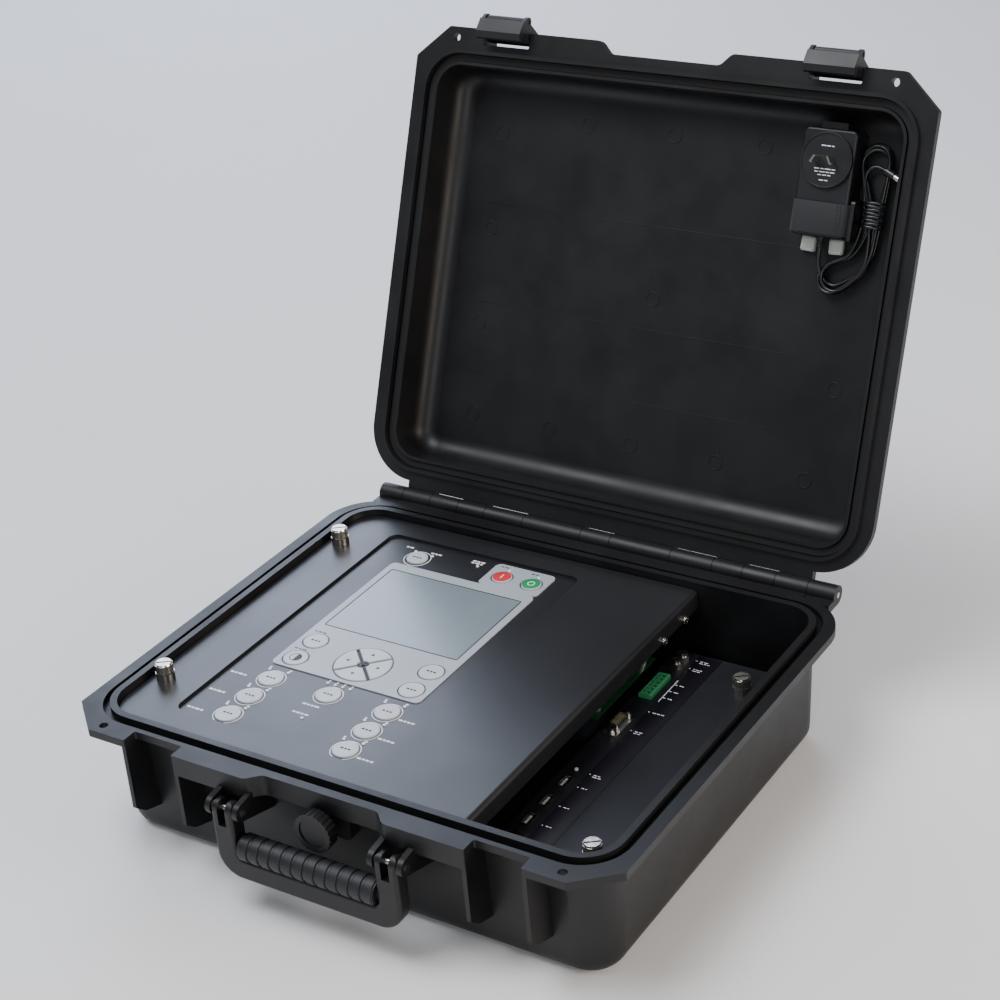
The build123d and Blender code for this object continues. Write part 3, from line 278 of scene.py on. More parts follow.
# Hook-and-loop webbing woven from nylon, about 12 threads per centimetre.
WEBBING = Finish(
    "nylon_webbing", "#141518", "#1c1d21", 0.7, 0.06,
    sheen=0.2, texture=Texture.WOVEN, grain=1.0, depth=0.16,
)
# Pale self-adhesive foam.
PAD = Finish("foam_pale", "#c6cbc2", "#b4b9b0", 0.75, 0.05, texture=Texture.FOAMED, grain=0.7, depth=0.06)
# Plasticised PVC sheath: black, slightly glossy.
SHEATH = Finish("pvc_sheath", "#0f1012", "#16171a", 0.34, 0.06, coat=0.15, grain=2.0, depth=0.02)
# Screen inks.
INK_WHITE = Finish("ink_white", "#f0f1f3", "#e6e8eb", 0.5, 0.03)
# Dark ink; the same dark also serves as painted shade in the gaps of the direction pad.
DARK_INK_AND_SHADE = Finish("dark_ink_and_shade", "#1d1f23", "#25272c", 0.55, 0.03)
INK_RED = Finish("ink_red", "#d4323d", "#c82d39", 0.38, 0.03, coat=0.2)
INK_GREEN = Finish("ink_green", "#159a5a", "#128e52", 0.38, 0.03, coat=0.2)
# Dark label film; the same dark also serves as painted shade inside the data sockets.
LABEL_FILM_AND_SHADE = Finish(
    "label_film_and_shade", "#100e17", "#14121c", 0.38, 0.04,
    texture=Texture.SPRAYED, grain=0.9, depth=0.012,
)
# Milky polycarbonate lens over an unlit lamp.
LENS = Finish("polycarbonate_milky", "#e9ebee", "#dfe2e6", 0.25, 0.03, coat=0.6)
# Insulator of the serial socket, glass-filled polyester.
INSULATOR = Finish("polyester_beige", "#8f8468", "#7f755c", 0.45, 0.05)
# Tongue of the data sockets.
TONGUE = Finish("polyester_white", "#d6d4cd", "#c6c4bc", 0.4, 0.05)
# Unlit liquid crystal behind a hard-coated clear window: grey-green, with a gloss that mirrors the room.
DISPLAY = Finish(
    "liquid_crystal_unlit", "#717f86", "#808d94", 0.3, 0.04,
    coat=0.5, coat_rough=0.26, grain=40.0, depth=0.0, patch=140.0,
)
# Matt studio floor.
FLOOR = Finish(
    "studio_paper", "#eeeeee", "#ebebeb", 0.8, 0.03,
    texture=Texture.SPRAYED, grain=4.0, depth=0.02, patch=900.0,
)


# ---- bench


def lid_turn() -> Matrix:
    """The turn that carries a point of the closed lid to the open one."""
    hinge = Vector(HINGE)
    return Matrix.Translation(hinge) @ Matrix.Rotation(radians(LID_TURN), 4, "X") @ Matrix.Translation(-hinge)


def link(obj: Piece) -> None:
    """Puts an object in the scene."""
    bpy.context.scene.collection.objects.link(obj)


def twin(obj: Piece) -> Piece:
    """A copy with its own mesh."""
    copy = obj.copy()
    copy.data = obj.data.copy()
    link(copy)
    return copy


def mode(name: str) -> None:
    """Goes to edit or object mode."""
    bpy.ops.object.mode_set(mode=name)


def hold(obj: Piece) -> None:
    """Selects only this object and makes it active."""
    bpy.ops.object.select_all(action="DESELECT")
    obj.select_set(True)
    bpy.context.view_layer.objects.active = obj


@contextmanager
def picked(obj: Piece, test: Callable[[Face], bool]) -> Iterator[None]:
    """Edit mode with only some faces selected.

    Args:
        obj: The mesh object.
        test: Says whether a face is wanted.
    """
    hold(obj)
    mode("EDIT")
    bpy.ops.mesh.select_mode(type="FACE")
    bpy.ops.mesh.select_all(action="DESELECT")
    mode("OBJECT")
    for face in obj.data.polygons:
        face.select = test(face)
    mode("EDIT")
    yield
    mode("OBJECT")


def looks_up(face: Face) -> bool:
    """Whether a face looks up."""
    return face.normal.z > 0.9


def round_off(obj: Piece, width: float, segments: int = 3, angle: float = 40.0) -> None:
    """Rounds the sharp edges with an applied bevel, width in millimetres."""
    hold(obj)
    bevel = obj.modifiers.new("round", "BEVEL")
    bevel.width = width * MM
    bevel.segments = segments
    bevel.limit_method = "ANGLE"
    bevel.angle_limit = radians(angle)
    bpy.ops.object.modifier_apply(modifier=bevel.name)


def smooth(obj: Piece, angle: float = 35.0) -> None:
    """Smooth shading up to an angle."""
    hold(obj)
    bpy.ops.object.shade_smooth_by_angle(angle=radians(angle))


def cylinder(name: str, radius: float, height: float, sides: int = 40) -> Piece:
    """A disc that stands on the origin, sizes in millimetres."""
    bpy.ops.object.select_all(action="DESELECT")
    tall = height * MM
    size = {"vertices": sides, "radius": radius * MM, "depth": tall}
    bpy.ops.mesh.primitive_cylinder_add(**size, location=(0, 0, tall / 2))
    obj = bpy.context.object
    obj.name = name
    bpy.ops.object.transform_apply()
    return obj


def block(name: str, x: float, y: float, z: float) -> Piece:
    """A block that stands on the origin, sizes in millimetres."""
    bpy.ops.object.select_all(action="DESELECT")
    bpy.ops.mesh.primitive_cube_add(size=1.0, location=(0, 0, z * MM / 2))
    obj = bpy.context.object
    obj.name = name
    obj.scale = (x * MM, y * MM, z * MM)
    bpy.ops.object.transform_apply()
    return obj


def torus(radius: float, thick: float, sides: int, segments: int, squash: float = 1.0) -> Piece:
    """A ring that stands across Y, by its middle radius and the radius of its thickness."""
    bpy.ops.object.select_all(action="DESELECT")
    bpy.ops.mesh.primitive_torus_add(
        major_radius=radius * MM, minor_radius=thick * MM, major_segments=sides, minor_segments=segments
    )
    obj = bpy.context.object
    obj.matrix_world = Matrix.Rotation(radians(90.0), 4, "X") @ Matrix.Diagonal((1.0, squash, 1.0, 1.0))
    bpy.ops.object.transform_apply()
    return obj


def dome(obj: Piece, width: float, segments: int) -> None:
    """Rounds the edge of the top, width in millimetres."""
    with picked(obj, looks_up):
        bpy.ops.mesh.bevel(offset=width * MM, segments=segments, affect="EDGES")


def inset(obj: Piece, test: Callable[[Face], bool], width: float, lift: float) -> None:
    """Insets the faces that pass a test and lifts them, both in millimetres."""
    with picked(obj, test):
        bpy.ops.mesh.inset(thickness=width * MM)
        bpy.ops.transform.translate(value=(0, 0, lift * MM))


def hollow(obj: Piece, width: float) -> Piece:
    """Insets the top and the foot and bridges them through, which leaves a ring."""
    with picked(obj, lambda face: abs(face.normal.z) > 0.9):
        bpy.ops.mesh.inset(thickness=width * MM, use_individual=True)
        bpy.ops.mesh.bridge_edge_loops()
    return obj


def band(name: str, radius: float, width: float, height: float, sides: int = 48) -> Piece:
    """A flat ring that stands on the origin."""
    return hollow(cylinder(name, radius, height, sides), width)


def rim(name: str, x: float, y: float, height: float, width: float, corner: float) -> Piece:
    """A rounded frame that stands on the origin, by its outside sizes."""
    obj = block(name, x, y, height)
    with picked(obj, looks_up):
        bpy.ops.mesh.select_mode(type="EDGE")
        bpy.ops.mesh.select_all(action="DESELECT")
        mode("OBJECT")
        for edge in obj.data.edges:
            a, b = (obj.data.vertices[i].co for i in edge.vertices)
            edge.select = abs(a.z - b.z) > height * MM / 2
        mode("EDIT")
        bpy.ops.mesh.bevel(offset=corner * MM, segments=6, affect="EDGES")
    return hollow(obj, width)


def repeat(pattern: Piece, name: str, spots: Spots, height: float) -> Piece:
    """Copies a piece to several places, each copy with its own mesh, and joins them.

    Args:
        pattern: The piece, standing on the origin. It is used up.
        name: Name of the joined piece.
        spots: X, Y, turn in degrees and optionally a stretch along the piece's X.
        height: Z of every copy's foot, in millimetres.

    Returns:
        The joined piece.
    """
    copies = []
    for spot in spots:
        copy = twin(pattern)
        copy.location = (spot[0] * MM, spot[1] * MM, height * MM)
        copy.rotation_euler = (0.0, 0.0, radians(spot[2]))
        copy.scale = (spot[3] if len(spot) > 3 else 1.0, 1.0, 1.0)
        copies.append(copy)
    bpy.data.objects.remove(pattern)
    bpy.ops.object.select_all(action="DESELECT")
    for copy in copies:
        copy.select_set(True)
    bpy.context.view_layer.objects.active = copies[0]
    bpy.ops.object.transform_apply()
    if len(copies) > 1:
        bpy.ops.object.join()
    joined = bpy.context.view_layer.objects.active
    joined.name = name
    return joined


def in_rows(rows: Rows, gap: float) -> Spots:
    """Spots of strokes that follow each other in rows, a gap apart."""
    spots: Spots = []
    for x, y, lengths in rows:
        for length in lengths:
            spots.append((x + length / 2, y, 0.0, length))
            x += length + gap
    return spots


def print_strokes(name: str, spots: Spots, width: float, thick: float, height: float) -> Piece:
    """Plain printed strokes, 1 mm long before their stretch, sizes in millimetres."""
    dash = block("dash", 1.0, width, thick)
    round_off(dash, 0.02, 2)
    return repeat(dash, name, spots, height)


def settle(obj: Piece, matrix: Matrix) -> Piece:
    """Puts a piece in its place, with the place in its mesh."""
    hold(obj)
    obj.matrix_world = matrix @ obj.matrix_world
    bpy.ops.object.transform_apply()
    return obj


def shift(x: float, y: float, z: float) -> Matrix:
    """A shift in millimetres."""
    return Matrix.Translation((x * MM, y * MM, z * MM))


def cut_out(obj: Piece, tool: Piece) -> None:
    """Cuts a tool's shape out of a piece and discards the tool."""
    hold(obj)
    taken = obj.modifiers.new("cut", "BOOLEAN")
    taken.operation = "DIFFERENCE"
    taken.object = tool
    bpy.ops.object.modifier_apply(modifier=taken.name)
    bpy.data.objects.remove(tool)


def dress(obj: Piece, finish: Finish, body: str, angle: float = 35.0) -> Piece:
    """Gives a piece its material, its shading and its body.

    Args:
        obj: The piece, in place.
        finish: Its finish.
        body: The CAD body that it moves with.
        angle: Shading angle in degrees.

    Returns:
        The piece.
    """
    smooth(obj, angle)
    obj.data.materials.clear()
    obj.data.materials.append(finish.make())
    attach(obj, body)
    LOG.info("%s rides on %s in %s", obj.name, body, finish.name)
    return obj


# ---- case


SLOT_FINISHES = {
    "case_plastic": CASE,
    "panel_paint": PANEL,
    "plate_paint": PLATE,
    "bracket": ALUMINIUM,
    "overlay_film": OVERLAY,
    "fascia_film": FASCIA,
    "lcd_glass": DISPLAY,
    "module_steel": ZINC,
    "circuit_board": LAMINATE,
    "socket_steel": SHELL,
    "terminal_green": POLYAMIDE,
    "steel": NICKEL,
    "grip_rubber": RUBBER,
    "gasket_rubber": NEOPRENE,
    "adapter_plastic": ABS,
    "strap_fabric": WEBBING,
    "pad_foam": PAD,
    "cord_plastic": SHEATH,
    "key_film": KEY,
}


@dataclass
class Case:
    """The waterproof case and everything of the frame that only needs its real finish."""

    finishes: dict[str, Finish] = field(default_factory=SLOT_FINISHES.copy)

    def dress(self) -> None:
        """Gives every node of the frame the finish of its slot."""
        slots = {part["node"]: part["material_slot"] for part in frame["record"]["subparts"]}
        for name, node in frame["nodes"].items():
            material = self.finishes[slots[name]].make()
            if not node.material_slots:
                node.data.materials.append(material)
            for place in node.material_slots:
                place.material = material
        LOG.info("dressed %d nodes", len(frame["nodes"]))


# ---- operator panel


@dataclass
class OperatorPanel:
    """Prints, lamps and key faces of the membrane panel, with painted shade between the direction keys."""

    overlay_top: float = 99.5
    fascia_top: float = 100.3
    key_top: float = 101.0
    print_thick: float = 0.06
    column_left: float = -129.0
    column_mid: float = -74.5
    column_right: float = -20.0
    rows: tuple[float, ...] = (-73.3, -100.2, -127.1)
    mode_y: float = 129.9
    switch_y: float = 132.0
    escape_y: float = -13.5
    enter_y: float = -40.8
    panel_key_y: float = -14.5
    contrast_y: float = -41.3
    nav_y: float = -27.1
    window_mid: tuple[float, float] = (-74.75, 57.45)
    window_size: tuple[float, float] = (127.0, 97.0)
    lamp_radius: float = 1.35
    lamp_height: float = 0.9
    lamp_steps: tuple[float, ...] = (-10.5, -3.5, 3.5, 10.5)  # over the middle column
    switch_x: tuple[float, float] = (-46.5, -18.5)  # the red switch, then the green one
    cap_thick: float = 0.35
    stroke_gap: float = 0.9

    def lamps(self) -> None:
        """Small milky lamps beside the keys."""
        spots: Spots = []
        for row in self.rows:
            for column in (self.column_left, self.column_right):
                spots += [(column - 9.5, row + 11.0, 0.0), (column + 7.5, row + 12.2, 0.0)]
        spots += [(self.column_mid + dx, self.rows[0] + 14.0, 0.0) for dx in self.lamp_steps]
        spots.append((self.column_mid, -107.0, 0.0))
        spots += [(x, self.mode_y + dy, 0.0) for x, dy in ((-137.0, 9.8), (-119.5, 8.6), (-75.5, 10.0))]
        lamp = cylinder("lamp", self.lamp_radius, self.lamp_height, 20)
        dome(lamp, 0.6, 4)
        dress(repeat(lamp, "panel_lamps", spots, self.overlay_top), LENS, "base", 60.0)
        lamp = cylinder("lamp", self.lamp_radius, 0.7, 20)
        dome(lamp, 0.5, 4)
        spots = [(x, self.switch_y + 11.4, 0.0) for x in self.switch_x]
        dress(repeat(lamp, "switch_lamps", spots, self.fascia_top), LENS, "base", 60.0)

    def rings(self) -> None:
        """White printed rings round the keys that stand on the black film."""
        spots = [(column, row, 0.0) for row in self.rows for column in (self.column_left, self.column_right)]
        spots += [(self.column_mid, self.rows[0], 0.0), (self.column_left, self.mode_y, 0.0)]
        ring = band("ring", 11.9, 0.7, self.print_thick)
        dress(repeat(ring, "key_rings", spots, self.overlay_top), INK_WHITE, "base")

    def dashes(self) -> None:
        """Short plain strokes where the labels stand, with no lettering."""
        left, middle, right = self.column_left, self.column_mid, self.column_right
        rows: Rows = []
        for y in self.rows:
            rows.append((left - 36.0, y - 4.0, (3.2, 2.2, 4.4, 2.6)))
            rows.append((right + 13.0, y - 4.0, (3.6, 2.2, 2.8, 3.0)))
            for x in (left, right):
                rows += [(x - 11.5, y + 14.2, (1.8,)), (x + 6.5, y + 15.4, (2.2,))]
        rows += [(middle + dx - 0.6, self.rows[0] + 17.3, (1.2,)) for dx in self.lamp_steps]
        rows += [
            (middle - 12.0, self.rows[0] - 16.5, (3.4, 2.6, 2.0, 4.6)),
            (middle - 12.5, -102.0, (2.6, 3.4, 2.4, 3.6)),
            (-149.0, self.mode_y + 14.0, (2.6, 3.6)),
            (-123.5, self.mode_y + 13.0, (3.2, 2.4, 3.0)),
            (-84.0, self.mode_y + 17.0, (3.4, 2.6, 3.8)),
            (-84.0, self.mode_y + 14.0, (2.8, 4.2, 2.4)),
        ]
        spots = in_rows(rows, self.stroke_gap)
        labels = print_strokes("label_strokes", spots, 1.9, self.print_thick, self.overlay_top)
        dress(labels, INK_WHITE, "base")
        rows = [
            (-139.0, self.panel_key_y + 13.0, (2.6, 3.4, 3.0)),
            (-139.0, self.contrast_y + 12.4, (3.4, 2.4, 3.6)),
            (-56.0, self.switch_y + 15.0, (2.6, 3.6)),
            (-27.0, self.switch_y + 15.0, (3.2, 2.6)),
        ]
        spots = in_rows(rows, self.stroke_gap)
        labels = print_strokes("fascia_strokes", spots, 1.3, self.print_thick, self.fascia_top)
        dress(labels, DARK_INK_AND_SHADE, "base")

    def key_faces(self) -> None:
        """Faces printed on the keys, each riding on its own key."""
        keys = {
            "key_mode": (self.column_left, self.mode_y),
            "key_escape": (self.column_right, self.escape_y),
            "key_enter": (self.column_right, self.enter_y),
            "key_panel": (self.column_left, self.panel_key_y),
            "key_fast_mid": (self.column_mid, self.rows[0]),
        }
        for n, row in enumerate(self.rows, 1):
            keys[f"key_fast_left_{n}"] = (self.column_left, row)
            keys[f"key_fast_right_{n}"] = (self.column_right, row)
        for key, (x, y) in keys.items():
            spots: Spots = [(x - 3.0, y, 0.0, 2.4), (x + 0.2, y, 0.0, 2.0), (x + 3.2, y, 0.0, 2.2)]
            face = print_strokes(f"{key}_face", spots, 1.7, self.print_thick, self.key_top)
            dress(face, DARK_INK_AND_SHADE, f"{key}_body")
        for key, x, ink in zip(("key_close", "key_open"), self.switch_x, (INK_RED, INK_GREEN)):
            cap = cylinder(f"{key}_cap", 7.7, self.cap_thick, 48)
            round_off(cap, 0.25, 3)
            dress(settle(cap, shift(x, self.switch_y, self.key_top)), ink, f"{key}_body")
            if ink is INK_RED:
                mark = block("mark", 1.0, 6.0, self.print_thick)
            else:
                mark = band("mark", 3.3, 0.9, self.print_thick)
            mark.name = f"{key}_mark"
            round_off(mark, 0.02, 2)
            settle(mark, shift(x, self.switch_y, self.key_top + self.cap_thick))
            dress(mark, INK_WHITE, f"{key}_body")

    def arrows(self) -> None:
        """An arrowhead on each quarter of the direction pad."""
        for key, turn in (("key_right", 0.0), ("key_up", 90.0), ("key_left", 180.0), ("key_down", 270.0)):
            head = cylinder("head", 2.1, self.print_thick, 3)
            round_off(head, 0.02, 2)
            reach = Vector((14.0 * cos(radians(turn)), 14.0 * sin(radians(turn))))
            spot = (self.column_mid + reach.x, self.nav_y + reach.y, turn - 90.0)
            arrow = repeat(head, f"{key}_arrow", [spot], self.key_top)
            dress(arrow, DARK_INK_AND_SHADE, f"{key}_body")

    def cross(self) -> None:
        """Dark matt strips between the quarters of the direction pad, painted shade in the gaps between its
        keys.
        """
        # Painted shade: dark matt strips laid on the film where the gaps between the direction keys fall
        # dark.
        bar = block("bar", 1.0, 2.2, self.print_thick)
        spots = [(self.column_mid, self.nav_y, turn, 45.6) for turn in (45.0, 135.0)]
        dress(repeat(bar, "pad_gap_shade", spots, self.overlay_top), DARK_INK_AND_SHADE, "base")

    def contrast(self) -> None:
        """Half-filled circle on the contrast key."""
        x, y = self.column_left, self.contrast_y
        ring = band("key_contrast_ring", 5.2, 0.7, self.print_thick)
        dress(settle(ring, shift(x, y, self.key_top)), DARK_INK_AND_SHADE, "key_contrast_body")
        half = cylinder("key_contrast_half", 4.6, self.print_thick, 40)
        with picked(half, lambda face: True):
            bpy.ops.mesh.bisect(plane_co=(0, 0, 0), plane_no=(1, 0, 0), use_fill=True, clear_inner=True)
        dress(settle(half, shift(x, y, self.key_top)), DARK_INK_AND_SHADE, "key_contrast_body")

    def window_frame(self) -> None:
        """Fine dark border printed round the display window."""
        border = rim("window_border", *self.window_size, 0.08, 1.1, 2.0)
        dress(settle(border, shift(*self.window_mid, self.fascia_top)), DARK_INK_AND_SHADE, "base")

    def build(self) -> None:
        """Builds all of the panel's pieces."""
        self.lamps()
        self.rings()
        self.dashes()
        self.key_faces()
        self.arrows()
        self.cross()
        self.contrast()
        self.window_frame()


# ---- connector bay


@dataclass
class ConnectorBay:
    """Label strip, socket insides and fixings of the lower plate."""

    plate_top: float = 56.0
    socket_x: float = 111.0
    usb_y: tuple[float, ...] = (-91.0, -66.0, -40.0)
    lan_y: float = -114.0
    serial_y: float = 42.0
    terminal_y: float = 99.0
    strip_x: float = 131.8
    strip_width: float = 20.4
    strip_length: float = 276.0
    strip_mid: float = 17.0
    strip_thick: float = 0.25
    terminal_length: float = 33.0
    terminal_ways: int = 6
    contact_pitch: float = 2.76  # of the serial socket
    panel_right: float = 110.0
    panel_top: float = 102.0

    def label_strip(self) -> None:
        """Dark film along the sockets, with a plain tick and strokes beside each."""
        strip = block("label_strip", self.strip_width, self.strip_length, self.strip_thick)
        round_off(strip, 0.1, 2)
        settle(strip, shift(self.strip_x, self.strip_mid, self.plate_top))
        dress(strip, LABEL_FILM_AND_SHADE, "base")
        left = self.strip_x - self.strip_width / 2
        labels = [
            (147.0, (2.8, 3.4), (3.4, 2.4, 1.8)),
            (135.0, (1.6, 2.4, 2.2), (3.6, 2.6)),
            (67.0, (3.2, 2.6, 2.8)),
            (39.0, (3.0, 2.8), (2.8, 2.0)),
            (-24.0, (2.6, 2.2), (3.6, 2.8)),
            *((y - 2.0, (2.4, 1.4)) for y in self.usb_y),
            (-117.0, (3.2, 2.6), (2.4, 2.2)),
        ]
        spots: Spots = []
        for y, *rows in labels:
            spots.append((left + 1.6, y, 0.0, 1.2))
            spots += in_rows([(left + 4.6, y - 2.3 * n, lengths) for n, lengths in enumerate(rows)], 0.8)
        for y in (self.terminal_y + 10.0, self.terminal_y, self.terminal_y - 10.0):
            spots += [(left + 3.0, y, 0.0, 2.4), (left + 8.0, y, 0.0, 4.0)]
        spots.append((left + 1.4, self.terminal_y, 90.0, self.terminal_length))
        marks = print_strokes("strip_strokes", spots, 0.9, 0.06, self.plate_top + self.strip_thick)
        dress(marks, INK_WHITE, "base")

    def sockets(self) -> None:
        """Painted shade inside the data sockets, the network socket's liner, tongues, contacts and the serial
        socket's insulator.
        """
        x, top = self.socket_x, self.plate_top
        # Painted shade: a dark film inside each data socket's shell, where its opening falls dark.
        liner_and_painted_shade = rim("liner_and_painted_shade", 5.3, 12.3, 7.5, 0.35, 0.5)
        socket_shade = repeat(liner_and_painted_shade, "usb_painted_shade", [(x, y, 0.0) for y in self.usb_y], top - 7.4)
        dress(socket_shade, LABEL_FILM_AND_SHADE, "base")
        tip = block("tip", 2.1, 11.2, 0.9)
        round_off(tip, 0.3, 3)
        tips = repeat(tip, "usb_tongues", [(x - 1.2, y, 0.0) for y in self.usb_y], top - 1.4)
        dress(tips, TONGUE, "base")
        liner_and_painted_shade = settle(rim("lan_liner", 7.9, 11.9, 8.0, 0.4, 0.6), shift(x - 1.5, self.lan_y, top - 8.2))
        dress(liner_and_painted_shade, LABEL_FILM_AND_SHADE, "base")
        spring = block("spring", 5.6, 0.5, 0.5)
        round_off(spring, 0.15, 2)
        spots: Spots = [(x - 2.0, self.lan_y - 4.2 + 1.2 * n, 0.0) for n in range(8)]
        dress(repeat(spring, "lan_contacts", spots, top - 4.0), NICKEL, "base")
        core = block("serial_core", 7.0, 15.6, 3.4)
        round_off(core, 0.8, 3)
        hole = cylinder("hole", 0.75, 4.0, 12)
        pitch = self.contact_pitch
        spots = [(-1.4, pitch * n, 0.0) for n in (-2, -1, 0, 1, 2)]
        spots += [(1.4, pitch * (n + 0.5), 0.0) for n in (-2, -1, 0, 1)]
        cut_out(core, repeat(hole, "holes", spots, 1.6))
        settle(core, shift(x, self.serial_y, top + 1.5))
        dress(core, INSULATOR, "base")

    def terminals(self) -> None:
        """Slotted clamp screws in the terminal block."""
        head = cylinder("head", 1.35, 1.2, 20)
        round_off(head, 0.2, 2)
        slot = block("slot", 3.2, 0.45, 0.8)
        cut_out(head, settle(slot, shift(0.0, 0.0, 0.7)))
        pitch = self.terminal_length / (self.terminal_ways + 0.6)
        first = (self.terminal_ways - 1) / 2
        ways = range(self.terminal_ways)
        spots = [(self.socket_x - 2.8, self.terminal_y + pitch * (n - first), 35.0 * n) for n in ways]
        dress(repeat(head, "terminal_screws", spots, self.plate_top + 0.6), NICKEL, "base")

    def fold_screws(self) -> None:
        """Domed cross-head screws on the main panel's folded edge."""
        head = cylinder("head", 3.6, 2.7, 32)
        dome(head, 1.5, 5)
        for turn in (20.0, 110.0):
            slot = block("slot", 4.0, 0.8, 2.0)
            cut_out(head, settle(slot, shift(0.0, 0.0, 1.6) @ Matrix.Rotation(radians(turn), 4, "Z")))
        aside = Matrix.Rotation(radians(90.0), 4, "Y")
        for n, (screw, y) in enumerate(((head, 118.0), (twin(head), 153.0)), 1):
            settle(screw, shift(self.panel_right, y, self.panel_top - 14.0) @ aside)
            screw.name = f"fold_screw_{n}"
            dress(screw, NICKEL, "base")

    def lamp(self) -> None:
        """Status lamp between the sockets."""
        lamp = cylinder("plate_lamp", 1.6, 1.6, 24)
        dome(lamp, 1.1, 5)
        dress(settle(lamp, shift(self.socket_x, -23.0, self.plate_top)), LENS, "base", 60.0)

    def board(self) -> None:
        """Small circuit board seen below the main panel's folded edge."""
        board = block("bay_board", 36.0, 96.0, 1.6)
        round_off(board, 0.2, 2)
        dress(settle(board, shift(80.0, 78.0, 63.0)), LAMINATE, "base")
        chip = block("chip", 9.0, 9.0, 2.0)
        inset(chip, looks_up, 0.6, 0.3)
        spots = [(88.0, 100.0, 0.0), (88.0, 82.0, 0.0, 0.7), (90.0, 62.0, 90.0, 1.3), (74.0, 92.0, 0.0, 1.2)]
        dress(repeat(chip, "bay_chips", spots, 64.6), LABEL_FILM_AND_SHADE, "base")
        can = cylinder("can", 3.1, 8.0, 24)
        inset(can, looks_up, 0.6, -0.3)
        spots = [(92.0, 116.0, 0.0), (84.0, 116.0, 0.0), (92.0, 42.0, 0.0)]
        dress(repeat(can, "bay_capacitors", spots, 64.6), ALUMINIUM, "base")

    def build(self) -> None:
        """Builds all of the bay's pieces."""
        self.label_strip()
        self.sockets()
        self.terminals()
        self.fold_screws()
        self.lamp()
        self.board()


# ---- lid


